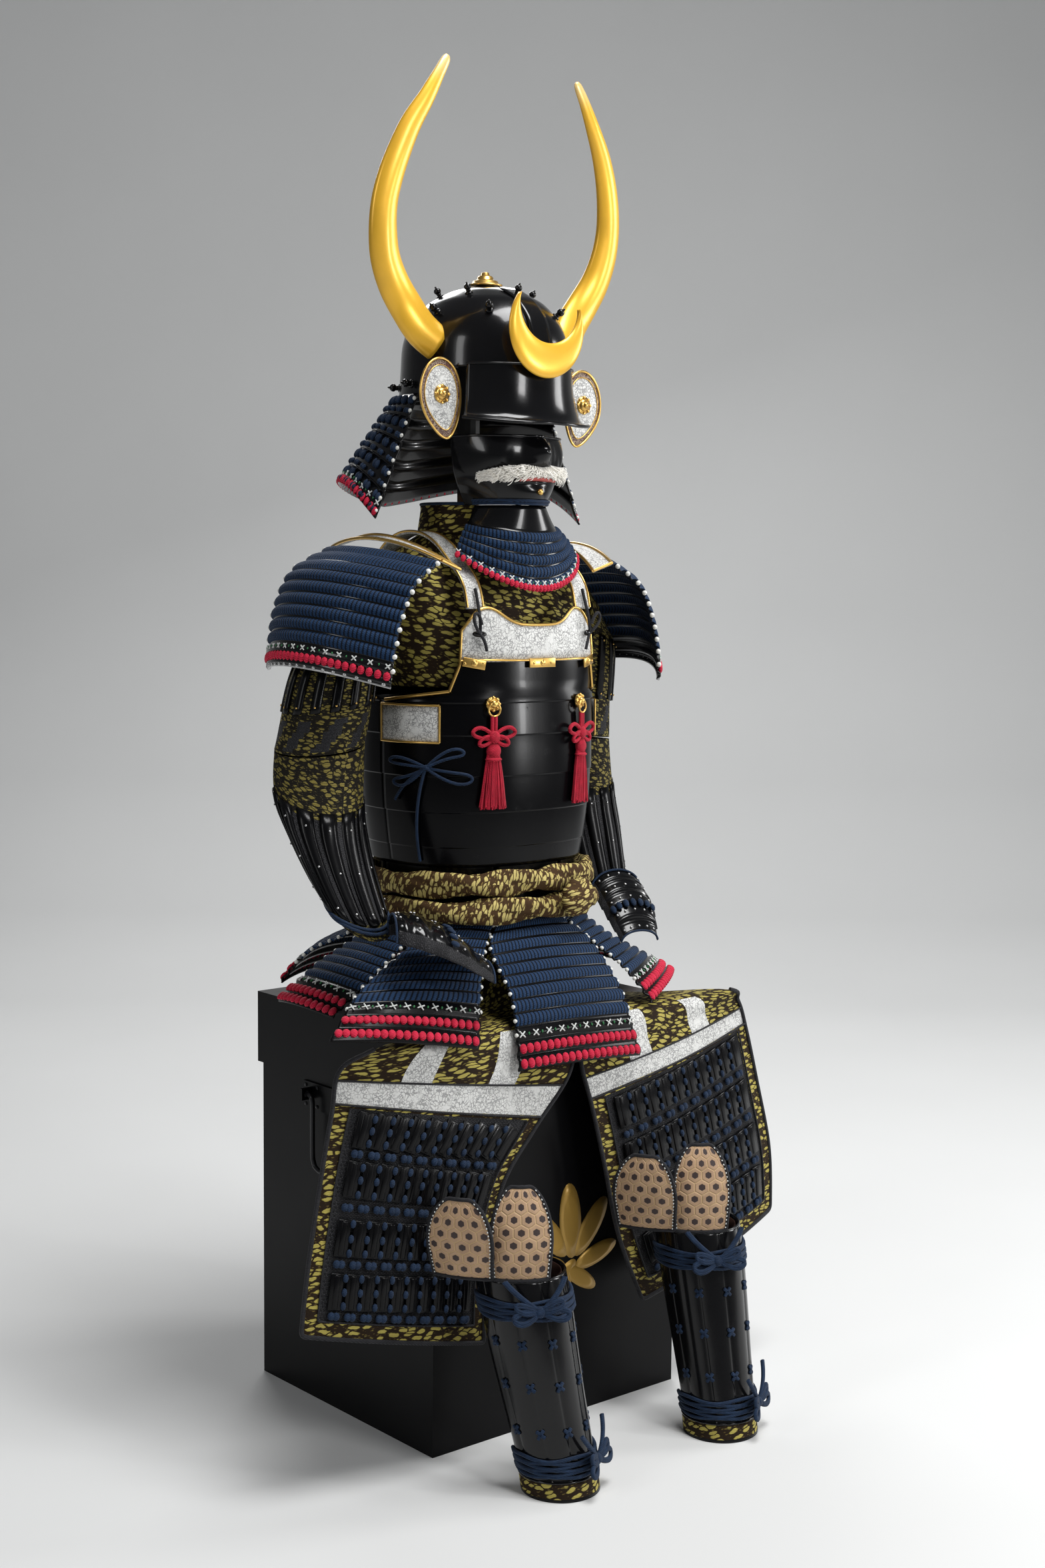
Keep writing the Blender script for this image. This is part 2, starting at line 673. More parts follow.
def bowl_point(rise, angle, out=0.0):
    if rise <= 0:
        spread = 1 + 0.06 * min(-rise, 0.5)
    else:
        place = 0.0
        for i, (low, high) in enumerate(zip(DOME, DOME[1:])):
            if low[0] <= rise <= high[0]:
                place = (i + (rise - low[0]) / (high[0] - low[0])) / (len(DOME) - 1)
        spread = read(DOME, place)[1] if rise < 1 else 0.1
    top = max(rise, 0) ** 3
    return rounded(BOWL_A * spread + out, BOWL_B * spread + out, 2.1, BOWL_Y, angle,
                   mix(RIM_Z, APEX_Z, rise) + out * top)


def band_rise(z):
    return (z - RIM_Z) / (APEX_Z - RIM_Z)


def from_axis(centre_y, lift=0.0):
    return lambda p: Vector((p.x, p.y - centre_y, lift * 100))


BOWL = Surface(bowl_point, lambda p: Vector((p.x, p.y - BOWL_Y, max(p.z - 1400, 0) * 1.3)))


def make_bowl():
    def shell_point(s, angle):
        turned = (angle + math.pi) % TURN - math.pi
        side = min(max((abs(turned) - math.radians(66)) / math.radians(8), 0), 1)
        low = mix(0.055, 0.444, side)
        return bowl_point(s * low if s < 0 else s, angle)

    rises = steps(-1, 0, 3)[:-1] + steps(0, 1, 34)
    sheet("helmet_bowl_shell", Surface(shell_point, BOWL.away), rises, steps(0, TURN, 120), [BLACK],
          thick=2.6, wrap=True, nodes=("helmet_bowl",))
    strip = Surface(lambda s, v: bowl_point(abs(s), math.pi if s > 0 else 0, 0.4) + Vector((v * 17, 0, 0)),
                    BOWL.away, 2e-3)
    for name, way in (("front", -1), ("back", 1)):
        sheet(f"helmet_strip_{name}", strip, [way * s for s in steps(0.04, 0.93, 30)], steps(-1, 1, 6),
              [BLACK], thick=1.6, relief=lambda s, v: 1.5 - 0.8 * v ** 4)
    bm = bmesh.new()
    rings = ((0.62, (36, 84, 132, 180, 228, 276, 324), 11), (0.86, (0, 60, 120, 180, 240, 300), 10),
             (-0.22, (102, 138, 180, 222, 258), 11))
    for rise, angles, size in rings:
        for angle in angles:
            turn = math.radians(angle)
            bead(bm, BOWL.seat(rise, turn, 0.6, (size * 1.1, size * 1.1, 3.4)), 14)
            bead(bm, BOWL.seat(rise, turn, size * 0.4, (size * 0.66, size * 0.66, size)), 12)
            bead(bm, BOWL.seat(rise, turn, size * 0.8, (size, size, size * 0.9)), 14)
            bead(bm, BOWL.seat(rise, turn, size * 1.25, (size * 0.3, size * 0.3, size * 0.5)), 8)
    make("helmet_studs", bm, [BLACK])


def make_peak():
    table = [(1383, 3.6), (1350, 6), (1318, 13), (1304, 22)]

    def at(u, v):
        z, out = read(table, u)
        lip = max(0, (u - 0.72) / 0.28) ** 2
        p = bowl_point(band_rise(1383), v * math.radians(51), out + 5 * lip)
        p.z = z + 7 * v * v * u + 2.5 * lip * bell(v, 0.3)
        return p

    peak = Surface(at, from_axis(BOWL_Y, 0.3))
    sheet("helmet_peak_plate", peak, steps(0, 1, 18), steps(-1, 1, 48), [BLACK], thick=2.4,
          relief=lambda u, v: 0.8 * bell(u - 0.97, 0.05), nodes=("helmet_peak",))
    cords("peak_rim", [edge_route(peak, [0.985], steps(-1, 1, 30), 0.6)], 2.2, BLACK)
    cords("peak_root", [edge_route(peak, [0.03], steps(-1, 1, 30), 0.8)], 1.6, BLACK)


def make_top_fitting():
    bm = bmesh.new()
    profile = [(0.5, -1.4), (16, 0), (22.6, -1.2), (23, 1.6), (20, 2.4), (17.6, 3.4), (16.6, 6.2),
               (13.6, 7.2), (11, 8), (10.6, 11), (9, 13), (6, 13.6), (5, 17.4), (2.6, 18.2), (0.2, 18.3)]
    chain = [bm.verts.new((x * MM, BOWL_Y * MM, (APEX_Z + 0.6 + z) * MM)) for x, z in profile]
    edges = [bm.edges.new(pair) for pair in zip(chain, chain[1:])]
    bmesh.ops.spin(bm, geom=chain + edges, cent=(0, BOWL_Y * MM, 0), axis=(0, 0, 1), angle=TURN, steps=48,
                   use_merge=True)
    bmesh.ops.remove_doubles(bm, verts=bm.verts, dist=2e-5)
    bmesh.ops.recalc_face_normals(bm, faces=bm.faces)
    make("helmet_top_fitting_gold", bm, [GOLD], ("helmet_top_fitting",))


def hem_row(name, surface, u, vs, red=(8, 13)):
    """A row of red silk blocks along a hem."""
    beads(name + "_red", [surface.seat(u, v, 3.2, (red[0], red[1], 6)) for v in vs], HEM_RED, 10)


def cross_row(name, surface, u, vs, size=7.0, out=2.6):
    """White crosses with green knots between them."""
    crosses = [surface.seat(u, v, out, (1.7, size * 1.25, 1.6), turn) for v in vs for turn in (0.8, -0.8)]
    slabs(name + "_white", crosses, WHITE_CORD, 0.4, 1)
    beads(name + "_green", [surface.seat(u, (a + b) / 2, out - 0.4, (2.6, size * 0.5, 2.4))
                            for a, b in zip(vs, vs[1:])], GREEN_CORD)


GUARD_OPEN = 88


def guard_at(u, angle):
    top = bowl_point(band_rise(1347), angle, 2.8)
    signed = angle - TURN if angle > math.pi else angle
    back = (math.pi - abs(signed)) / math.radians(180 - GUARD_OPEN)
    z = 1207 + 30 * math.sin(math.pi * min(max(back, 0), 1) ** 1.2) - 29 * max(back, 0) ** 4
    return top.lerp(rounded(174, 216, 2, -18, angle, z), u)


def make_neck_guard():
    guard = Surface(guard_at, from_axis(-18, 0.2))
    lames = 5
    rows = []
    for i in range(lames):
        rows += [i / lames + 0.002, (i + 0.3) / lames, (i + 0.7) / lames, (i + 1) / lames - 0.002]
    turns = [math.radians(a) for a in steps(90, 270, 90)]
    sheet("neck_guard_lames", guard, rows, turns, [BLACK], thick=2, relief=lambda u, v: (u * lames % 1) * 3,
          nodes=("neck_guard",))
    bm = bmesh.new()
    for i in range(lames):
        for angle in steps(93.5, 266.5, 21):
            for side in (-1.05, 1.05):
                v = math.radians(angle + side)
                bead(bm, guard.seat((i + 0.3) / lames, v, 2.8, (7, 13, 6.5)))
                bead(bm, guard.seat((i + 0.78) / lames, v, 4.2, (6, 8, 5.5)))
    make("neck_guard_knots", bm, [NAVY_CORD])
    beads("neck_guard_edge_knots", [guard.seat((i + 0.5) / lames / 2, math.radians(angle), 3, (5, 6, 5))
                                    for i in range(lames * 2) for angle in (90.8, 269.2)], WHITE_BEAD)
    hem = [math.radians(a) for a in steps(91.5, 268.5, 58)]
    hem_row("neck_guard_hem", guard, 0.965, hem)
    cross_row("neck_guard_crosses", guard, 0.895, hem[::2], 8, 4)
    rims = [edge_route(guard, [(i + 1) / lames - 0.004], turns[::3], 2.7) for i in range(lames)]
    cords("neck_guard_rims", rims, 1.1, BLACK)


def make_turn_backs():
    x0, y0, z0, half, up, down = 121, -79, 1341, 33, 46, 56
    for side, name in SIDES:
        def outline(angle, share=1.0, out=0.0):
            rise = math.cos(angle)
            narrow = 1 - 0.3 * rise * rise if rise < 0 else 1
            drift = side * 10 * rise * rise if rise < 0 else 0
            return Vector((side * x0 + (half * math.sin(angle) * narrow - drift) * share, y0 - 3 - out,
                           z0 + rise * (up if rise > 0 else down) * share))

        plate = Surface(lambda s, a: outline(a, s, 3.2 * (1 - s * s)), lambda p: Vector((0, -1, 0)))
        sheet(f"turnback_plate_{name}", plate, steps(0.02, 0.985, 16), steps(0, TURN, 56),
              [PRINTED, BORDER], thick=2.6, zone=lambda u, v: 1 if u > 0.8 else 0, wrap=True,
              nodes=(f"turnback_{name}",))
        rims = [[outline(a, s, 0.6 + 3.2 * (1 - s * s)) for a in steps(0, TURN, 40)[:-1]]
                for s in (0.985, 0.8)]
        cords(f"turnback_rim_{name}", [rims[0]], 1.7, GOLD, closed=True)
        cords(f"turnback_inner_rim_{name}", [rims[1]], 0.7, GOLD, closed=True)
        bm = bmesh.new()
        boss = Surface(lambda u, v: Vector((side * x0 + v, y0 - 6.4, z0 - u)),
                       lambda p: Vector((0, -1, 0)), 1, 1)
        for size, tall, out in ((25, 4, 0), (17, 7, 1.4), (9, 9, 3.6)):
            bead(bm, boss.seat(0, 0, out, (size, size, tall)), 24)
        for angle in steps(0, TURN, 8)[:-1]:
            bead(bm, boss.seat(10.6 * math.cos(angle), 10.6 * math.sin(angle), 1.6, (4.4, 4.4, 2.2)), 8)
        make(f"turnback_boss_{name}", bm, [GOLD])
        slabs(f"turnback_lug_{name}", [block((side * 95.5, y0 + 7, z0 + 20), (7, 19, 26))], BLACK, 1)


HORN = [(96, -48, 1406, 48), (122, -42, 1426, 50), (142, -36, 1454, 49), (161, -36, 1480, 47),
        (178, -41, 1510, 44), (187, -48, 1543, 41), (189, -54, 1576, 38), (184, -60, 1608, 36),
        (174, -66, 1641, 33), (160, -71, 1674, 29), (141, -76, 1706, 23), (124, -78, 1736, 17),
        (112, -78, 1756, 13), (108, -78, 1763, 6)]


def make_horns():
    for side, name in SIDES:
        def at(u, v):
            x, y, z, width = read(HORN, u)
            before, after = (Vector(read(HORN, place)[:3]) for place in (u - 0.02, u + 0.02))
            along = after - before
            along.x *= side
            along.normalize()
            across = along.cross(Vector((0, -1, 0))).normalized()
            front = across.cross(along).normalized()
            c, s = math.cos(v), math.sin(v)
            ridge = 1 + 0.1 * max(s, 0) ** 6
            blunt = 1 if u < 0.97 else math.sqrt(max(1 - ((u - 0.97) / 0.031) ** 2, 0.02))
            return (Vector((side * x, y, z)) + across * (c * width / 2 * blunt)
                    + front * (math.copysign(abs(s) ** 0.9, s) * width * 0.27 * ridge * blunt))

        def away(p):
            x, y, _, _ = min(line, key=lambda row: abs(row[2] - p.z))
            return Vector((p.x - side * x, p.y - y, 0.01))

        line = [read(HORN, i / 26) for i in range(27)]
        horn = Surface(at, away)
        sheet(f"horn_gold_{name}", horn, steps(0.012, 1, 70), steps(0, TURN, 40), [HORN_GOLD], thick=0,
              wrap=True, nodes=(f"horn_{name}",))


def make_crescent():
    x0, y0, z0, outer, inner, shift, tilt = -5, -157, 1426, 62, 50, 33, math.radians(8)
    meet = math.acos((outer ** 2 + shift ** 2 - inner ** 2) / (2 * outer * shift))
    meet_inner = math.acos((outer ** 2 - shift ** 2 - inner ** 2) / (2 * inner * shift))

    def at(s, k):
        a, b = s * (math.pi - meet) * 0.995, s * (math.pi - meet_inner) * 0.995
        far = Vector((outer * math.sin(a), -outer * math.cos(a)))
        near = Vector((inner * math.sin(b), shift - inner * math.cos(b)))
        middle = (far + near) / 2
        edge = (far - near) / 2
        flat = middle + edge * math.cos(k)
        turned = (flat.x * math.cos(tilt) + flat.y * math.sin(tilt),
                  -flat.x * math.sin(tilt) + flat.y * math.cos(tilt))
        deep = 3.6 + 2.4 * min(edge.length / 18, 1)
        return Vector((x0 + turned[0], y0 + 3.6 - deep * math.sin(k), z0 + turned[1]))

    crest = Surface(at, lambda p: Vector((0, p.y - y0 - 3.6, 0)) + Vector((0, 1e-4, 0)))
    sheet("crescent_gold", crest, steps(-1, 1, 64), steps(0, TURN, 28), [HORN_GOLD], thick=0, wrap=True,
          nodes=("crescent",))
    slabs("crescent_bracket", [block((x0, -144.5, 1399), (15, 14, 12))], GOLD, 1.2)


# Face mask and throat
MASK = [(1292, 82, 84), (1276, 82, 88), (1261, 80, 89), (1247, 77, 88), (1234, 72, 86), (1220, 65, 84),
        (1204, 56, 78)]
MASK_Y = -46
MASK_OPEN = math.radians(84)
HAIRS = 2400


def mask_at(u, v):
    z, a, b = read(MASK, u)
    p = rounded(a, b, 2.1, MASK_Y, v * MASK_OPEN, z)
    angle = v * 84
    nose = 21 * bell(angle, 9) * bell(u - 0.22, 0.2) + 3.5 * bell(abs(angle) - 8, 4) * bell(u - 0.4, 0.06)
    chin = 7 * bell(angle, 16) * bell(u - 0.86, 0.14)
    cheek = 4 * bell(abs(angle) - 38, 15) * bell(u - 0.25, 0.25)
    mouth = -5 * bell(angle, 22) * bell(u - 0.61, 0.035) + 2.2 * bell(angle, 20) * bell(u - 0.67, 0.03)
    crease = -1.6 * bell(abs(angle) - 24 - 20 * u, 3.2) * bell(u - 0.5, 0.24)
    out = Vector((p.x, p.y - MASK_Y, 0)).normalized()
    return p + out * (nose + chin + cheek + mouth + crease)


def make_face():
    face = Surface(mask_at, from_axis(MASK_Y))
    sheet("face_mask_plate", face, steps(0, 1, 72), steps(-1, 1, 110), [BLACK], thick=2.4,
          nodes=("face_mask",))
    lips = [edge_route(face, [u], steps(-0.22, 0.22, 12), 4.4) for u in (0.605, 0.66)]
    cords("mask_lips", lips, 3.2, LIP)
    cords("mask_rim", [edge_route(face, [0.012], steps(-1, 1, 40), 0.4)], 1.7, BLACK)
    cords("mask_chin_cords", [edge_route(face, [u], steps(-0.8, 0.8, 18), 1.5) for u in (0.93, 0.965)], 2.1,
          NAVY_CORD)
    beads("mask_boss", [face.seat(0.83, 0, 2, (9, 9, 7))], GOLD, 16)
    half = 0.62
    hairs = []
    for _ in range(HAIRS):
        v = random.uniform(-half, half)
        fade = 1 - 0.35 * (abs(v) / half) ** 3
        parted = 0.45 + 0.55 * min(abs(v) / 0.16, 1)
        u = 0.475 + 0.09 * (v / half) ** 2 + random.uniform(-0.08, 0.08) * parted * fade
        root = face.out(u, v, 0.5)
        across, down, normal = face.axes(u, v)
        sweep = math.copysign(1, v) * across if abs(v) > 0.02 else across * random.uniform(-1, 1)
        length = random.uniform(10, 17) * fade * parted
        lift = random.uniform(5, 12)
        tip = (root + sweep * length * 0.55 + down * length * random.uniform(-0.12, 0.62)
               + normal * lift * fade)
        middle = root.lerp(tip, 0.5) + normal * (lift * 0.9) * fade
        hairs.append([root, root + normal * lift * 0.6, middle, tip])
    cords("moustache_fur", hairs, 0.5, FUR, nodes=("moustache",), smooth=3, sides=1)
    make_throat()


THROAT = [(1203.2, 56, 78, 0), (1178, 72, 82, 6), (1150, 92, 86, 18), (1122, 106, 90, 32),
          (1095, 116, 92, 44)]


def even_places(surface, start, end, count):
    """Places between two heights of a panel that are equal lengths apart down its middle."""
    fine = steps(start, end, 90)
    run = [0.0]
    for a, b in zip(fine, fine[1:]):
        run.append(run[-1] + (surface.at(b, 0.5) - surface.at(a, 0.5)).length)
    places = []
    for i in range(count + 1):
        k = next((k for k in range(90) if run[k + 1] >= run[-1] * i / count), 89)
        places.append(mix(fine[k], fine[k + 1], (run[-1] * i / count - run[k]) / (run[k + 1] - run[k])))
    return places


def laced_rows(marks, fine=6):
    return [mix(a, b, k / fine) for a, b in zip(marks, marks[1:]) for k in range(fine)] + [marks[-1]]


def row_part(u, marks):
    """Which row a place is in, and how far down that row."""
    for row, (a, b) in enumerate(zip(marks, marks[1:])):
        if a <= u < b:
            return row, (u - a) / (b - a)
    return (-1, 0) if u < marks[0] else (len(marks), 0)


def puffed(marks, height):
    """Each laced row swells, and below it the lame shows."""
    def relief(u, v):
        row, part = row_part(u, marks)
        if row < 0 or row >= len(marks) - 1 or part >= LACED_PART:
            return 0
        return height * math.sin(math.pi * part / LACED_PART) ** 0.5
    return relief


def make_throat():
    half = math.radians(66)

    def at(u, v):
        z, a, b, lift = read(THROAT, u)
        return rounded(a, b, 2.1, MASK_Y, v * half, z + lift * v * v)

    throat = Surface(at, from_axis(MASK_Y, 0.2))
    marks = steps(0.34, 1, 5)
    sheet("throat_guard_lacing", throat, steps(0, 0.3, 4) + laced_rows(marks), steps(-1, 1, 60),
          [NAVY, BLACK], thick=2, relief=puffed(marks, 4.2), nodes=("throat_guard",),
          zone=lambda u, v: 0 if u > 0.34 and row_part(u, marks)[1] < LACED_PART else 1)
    hem = steps(-0.98, 0.98, 34)
    hem_row("throat_guard_hem", throat, 0.985, hem, red=(7.5, 10))
    cross_row("throat_guard_crosses", throat, 0.91, hem[::2], 7, 3.6)


# Cuirass
TORSO_Y = -10
TORSO = [(1110, 150, 104), (1049, 155, 125), (957, 158, 129), (907, 158, 130), (854, 156, 130),
         (807, 152, 128), (761, 145, 123), (735, 140, 119)]
PLATE_LINES = (949, 907, 854, 807, 761)
ARMHOLE = [(1110, 46), (1000, 47), (964, 52), (950, 89.8), (700, 89.8)]
BOARD_TOP, BOARD_FOOT = 1049, 1002


def smooth_height(table, z):
    """As read_height, but the curve is smooth through the rows."""
    out = []
    for k in range(1, len(table[0])):
        pairs = sorted((row[0], row[k]) for row in table)
        i = 0
        while i < len(pairs) - 2 and z > pairs[i + 1][0]:
            i += 1
        (z0, p0), (z1, p1) = pairs[i], pairs[i + 1]
        slopes = []
        for j in (i, i + 1):
            before, after = pairs[max(j - 1, 0)], pairs[min(j + 1, len(pairs) - 1)]
            slopes.append((after[1] - before[1]) / (after[0] - before[0]))
        f = min(max((z - z0) / (z1 - z0), 0), 1)
        m0, m1 = (slope * (z1 - z0) for slope in slopes)
        out.append((2 * f ** 3 - 3 * f ** 2 + 1) * p0 + (f ** 3 - 2 * f ** 2 + f) * m0
                   + (3 * f ** 2 - 2 * f ** 3) * p1 + (f ** 3 - f ** 2) * m1)
    return out


def torso_point(angle, z, out=0.0):
    a, b = smooth_height(TORSO, z)
    return rounded(a + out, b + out, 2.5, TORSO_Y, angle, z)


def board_height(z, v):
    lobe = bell(abs(v) - 0.72, 0.26)
    top = BOARD_TOP + 22 * lobe - 14 * max(0, abs(v) - 0.86) / 0.14
    share = max(0, (z - BOARD_FOOT) / (BOARD_TOP - BOARD_FOOT))
    return z if z <= BOARD_FOOT else mix(BOARD_FOOT, top, share)


def plate_rise(z):
    above = [line for line in PLATE_LINES if line < z]
    line = above[0] if above else 735
    return max(0, 1.5 * (1 - (z - line) / 46)) if z < 960 else 0


def front_at(u, v, out=0.0):
    z = -u
    return torso_point(v * math.radians(read_height(ARMHOLE, z)[0]), board_height(z, v), out)


def back_at(u, v):
    z = -u
    return torso_point(math.pi - v * math.radians(read_height(ARMHOLE, z)[0]), z)


FRONT = Surface(front_at, from_axis(TORSO_Y), 0.5)


def make_cuirass():
    lines = [z for line in PLATE_LINES for z in (line + 1.2, line + 0.4, line - 0.4, line - 1.2)]
    between = [z for z in range(740, 945, 9) if min(abs(z - line) for line in lines) > 1]
    heights = sorted([BOARD_TOP, 1040, 1026, 1014, BOARD_FOOT, 990, 978, 964, 956, 735] + lines + between,
                     reverse=True)
    sheet("cuirass_front_plate", FRONT, [-z for z in heights], steps(-1, 1, 96), [SATIN], thick=2,
          relief=lambda u, v: plate_rise(-u), nodes=("cuirass_front",))
    back = Surface(back_at, from_axis(TORSO_Y), 0.5)
    sheet("cuirass_back_plate", back, [-z for z in [1106, 1090, 1074, 1060] + heights], steps(-1, 1, 96),
          [SATIN], thick=2, relief=lambda u, v: plate_rise(-u), nodes=("cuirass_back",))
    board = Surface(lambda u, v: front_at(u, v, 2.6), from_axis(TORSO_Y), 0.5)
    sheet("chest_board_leather", board, [-z for z in (1049, 1044, 1036, 1026, 1014, 1002)], steps(-1, 1, 64),
          [PRINTED], thick=1.4, nodes=("chest_board",))
    top = edge_route(board, [-1049], steps(-1, 1, 64), 0.6)
    sides = [edge_route(board, steps(-1049, -1002, 6), [v], 0.6) for v in (-1, 1)]
    cords("chest_board_rim", [top] + sides, 1.9, GOLD)
    cords("chest_board_beading", [edge_route(board, [-1003.5], steps(-1, 1, 40), 0.8)], 1.4, GOLD)
    hole = [edge_route(FRONT, [-z for z in steps(1002, 964, 8)], [v], 1.2) for v in (-1, 1)]
    hole += [edge_route(FRONT, [-z for z in steps(964, 951, 6)], [v], 1.2) for v in (-1, 1)]
    cords("armhole_rim", hole, 2.2, GOLD)
    bm = bmesh.new()
    for v, width in ((-0.86, 30), (0.02, 44), (0.86, 30)):
        slab(bm, board.seat(-1000, v, 1.8, (width, 12, 2.6)))
        bead(bm, board.seat(-1000, v, 3.2, (9, 9, 4)), 14)
        for side in (-1, 1):
            bead(bm, board.seat(-1000, v + side * width / 320, 2.8, (5, 5, 3)), 10)
    soften(make("gilt_fittings", bm, [GOLD]), 0.8)
    beads("toggles", [board.seat(-1027, v, 5.5, (20, 8.5, 8.5)) for v in (-0.82, 0.82)], BLACK, 14)
    knots = []
    for v in (-0.82, 0.82):
        side = 1 if v > 0 else -1
        foot = board.out(-1027, v, 8)
        strap = Vector((side * 92, -116, 1090))
        knots.append([foot, foot + Vector((0, -3, 14)), strap + Vector((4, -5, -14)),
                      strap + Vector((0, -3, 6))])
        knots.append([foot, foot + Vector((side * 12, -5, 10)), foot + Vector((side * 18, -5, 26)),
                      foot + Vector((side * 6, -5, 30)), foot + Vector((0, -4, 12))])
        knots.append([foot, foot + Vector((-side * 6, -4, -8)), foot + Vector((-side * 9, -3, -22))])
    cords("toggle_cords", knots, 2.1, BLACK_CORD)
    for side, name in SIDES:
        start, end = math.radians(56), math.radians(88.5)
        flank = Surface(lambda u, v: torso_point(side * mix(start, end, v), -u, 3.8), from_axis(TORSO_Y), 0.5)
        sheet(f"side_board_leather_{name}", flank, [-z for z in (946, 930, 914, 898)], steps(0, 1, 18),
              [PRINTED], thick=1.4, nodes=(f"side_board_{name}",))
        rim = [edge_route(flank, [-z], steps(0, 1, 18), 0.5) for z in (946, 898)]
        rim += [edge_route(flank, [-z for z in (946, 930, 914, 898)], [v], 0.5) for v in (0, 1)]
        cords(f"side_board_rim_{name}", rim, 1.5, GOLD)
    make_side_bow()


def make_side_bow():
    """The blue cord tied over the opening on the wearer's right."""
    def place(angle, z, out):
        return torso_point(math.radians(angle), z, out)

    knot = (-62, 866)
    loops = []
    for angle, z, wide in ((-44, 886, 6), (-40, 852, 8), (-82, 874, 5), (-80, 846, 6)):
        way = (angle - knot[0]) / 2
        loops.append([place(*knot, 6), place(knot[0] + way, z + wide, 8), place(angle, z + wide, 8),
                      place(angle, z - wide, 8), place(knot[0] + way, z - wide, 8), place(*knot, 7)])
    loops.append([place(*knot, 6), place(-64, 850, 8), place(-68, 810, 5), place(-69, 770, 4),
                  place(-68, 742, 4)])
    loops.append([place(*knot, 6), place(-70, 852, 8), place(-76, 838, 6), place(-80, 822, 5)])
    cords("side_bow", loops, 2.1, NAVY_CORD)
    side = Surface(lambda u, v: place(v, -u, 0), from_axis(TORSO_Y), 0.5, 0.1)
    beads("side_bow_knot", [side.seat(-knot[1], knot[0], 6, (11, 9, 8))], NAVY_CORD, 12)


STRAP = [(-120.5, 1070), (-114, 1094), (-103, 1112), (-82, 1131), (-52, 1155), (-18, 1168), (22, 1168),
         (54, 1155), (80, 1132), (95, 1111)]


def make_straps():
    for side, name in SIDES:
        strap = Surface(lambda u, v: Vector((side * (92 + 13 * v), *read(STRAP, u))),
                        lambda p: Vector((0, p.y * 0.6, 60)))
        sheet(f"shoulder_strap_leather_{name}", strap, steps(0, 1, 40), steps(-1, 1, 6), [PRINTED], thick=3.5,
              nodes=(f"shoulder_strap_{name}",))
        edges = [edge_route(strap, steps(0.01, 0.99, 40), [v], 0.2) for v in (-1, 1)]
        cords(f"shoulder_strap_rim_{name}", edges, 1.6, GOLD)


# Vest and collar
VEST = [(1166, 70, 66, 4), (1146, 110, 76, 0), (1122, 146, 84, -2), (1090, 160, 90, -6), (1048, 155, 98, -9),
        (1000, 141, 106, -10), (968, 138, 109, -10)]


def make_vest():
    def at(u, v):
        z, a, b, cy = read(VEST, u)
        return rounded(a, b, 2.3, cy, v, z)

    cloth = Surface(at, lambda p: Vector((p.x, p.y, 60)))
    vest = sheet("vest_cloth", cloth, steps(0, 1, 60), steps(0, TURN, 140), [BROCADE], thick=2, wrap=True,
                 nodes=("vest",),
                 drop=lambda x, y, z: abs(x) > 126 and ((y - 2) / 38) ** 2 + ((z - 1074) / 41) ** 2 < 1)
    cut_cloth(vest)
    half = math.radians(146)
    collar = Surface(lambda u, v: rounded(mix(66, 71, u), mix(61, 67, u), 2.2, 5, math.pi - v * half,
                                          mix(1206, 1166.7, u)), from_axis(5))
    band = sheet("collar_cloth", collar, steps(0, 1, 10), steps(-1, 1, 60), [BROCADE], thick=3,
                 relief=lambda u, v: 1.5 * bell(u, 0.1), nodes=("collar",))
    trim = cords("collar_piping", [edge_route(collar, [0.0], steps(-1, 1, 50), 0.6)], 2.2, NAVY_CORD)
    cut_cloth(band)


# Tassets
def edge_panel(rows, bow_way):
    def at(u, v):
        x0, y0, z0, x1, y1, z1, bow = read(rows, u)
        return (Vector((mix(x0, x1, v), mix(y0, y1, v), mix(z0, z1, v)))
                + bow_way * (bow * 4 * v * (1 - v)))
    return at


def mirrored(rows, nearer=0):
    return [(-r[0] - nearer, r[1], r[2], -r[3] - nearer, *r[4:]) for r in rows]


def tasset_head(start, end):
    rows = []
    for z, out in ((746, -5), (716, -4.6), (690, -3.6), (662, -3)):
        level = max(z, 735)
        a, b = read_height(TORSO, level)
        p, q, middle = (rounded(a + out, b + out, 2.5, TORSO_Y, math.radians(angle), level)
                        for angle in (start, end, (start + end) / 2))
        rows.append((p.x, p.y, z, q.x, q.y, z, (middle - (p + q) / 2).length))
    return rows


TASSETS = {
    "tasset_front": (-25, 25, [(-88, -150, 632, 80, -150, 630, 10), (-99, -206, 576, 86, -208, 571, 8),
                               (-113, -238, 492, 96, -240, 484, 8)]),
    "tasset_front_right": (-28, -61, [(-96, -148, 630, -196, -102, 630, 10),
                                      (-142, -196, 590, -300, -156, 602, 12),
                                      (-176, -236, 529, -380, -206, 562, 10)]),
    "tasset_front_left": (28, 61, [(92, -146, 624, 170, -92, 618, 10), (114, -188, 590, 226, -104, 588, 10),
                                   (132, -222, 547, 274, -118, 557, 8)]),
    "tasset_side_right": (-64, -98, [(-172, -70, 630, -172, 30, 630, 8), (-224, -74, 596, -222, 50, 596, 12),
                                     (-276, -66, 553, -270, 66, 553, 12)]),
    "tasset_side_left": (64, 98, [(172, -56, 628, 172, 34, 630, 8), (224, -50, 594, 222, 56, 596, 10),
                                  (276, -40, 552, 270, 72, 553, 10)]),
    "tasset_back_right": (-178, -102, [(-6, 140, 628, -158, 72, 628, 16), (-8, 184, 596, -184, 122, 600, 18),
                                       (-10, 214, 552, -204, 158, 556, 16)]),
    "tasset_back_left": (178, 102, [(6, 140, 628, 158, 72, 628, 16), (8, 184, 596, 184, 122, 600, 18),
                                    (10, 214, 552, 204, 158, 556, 16)]),
}


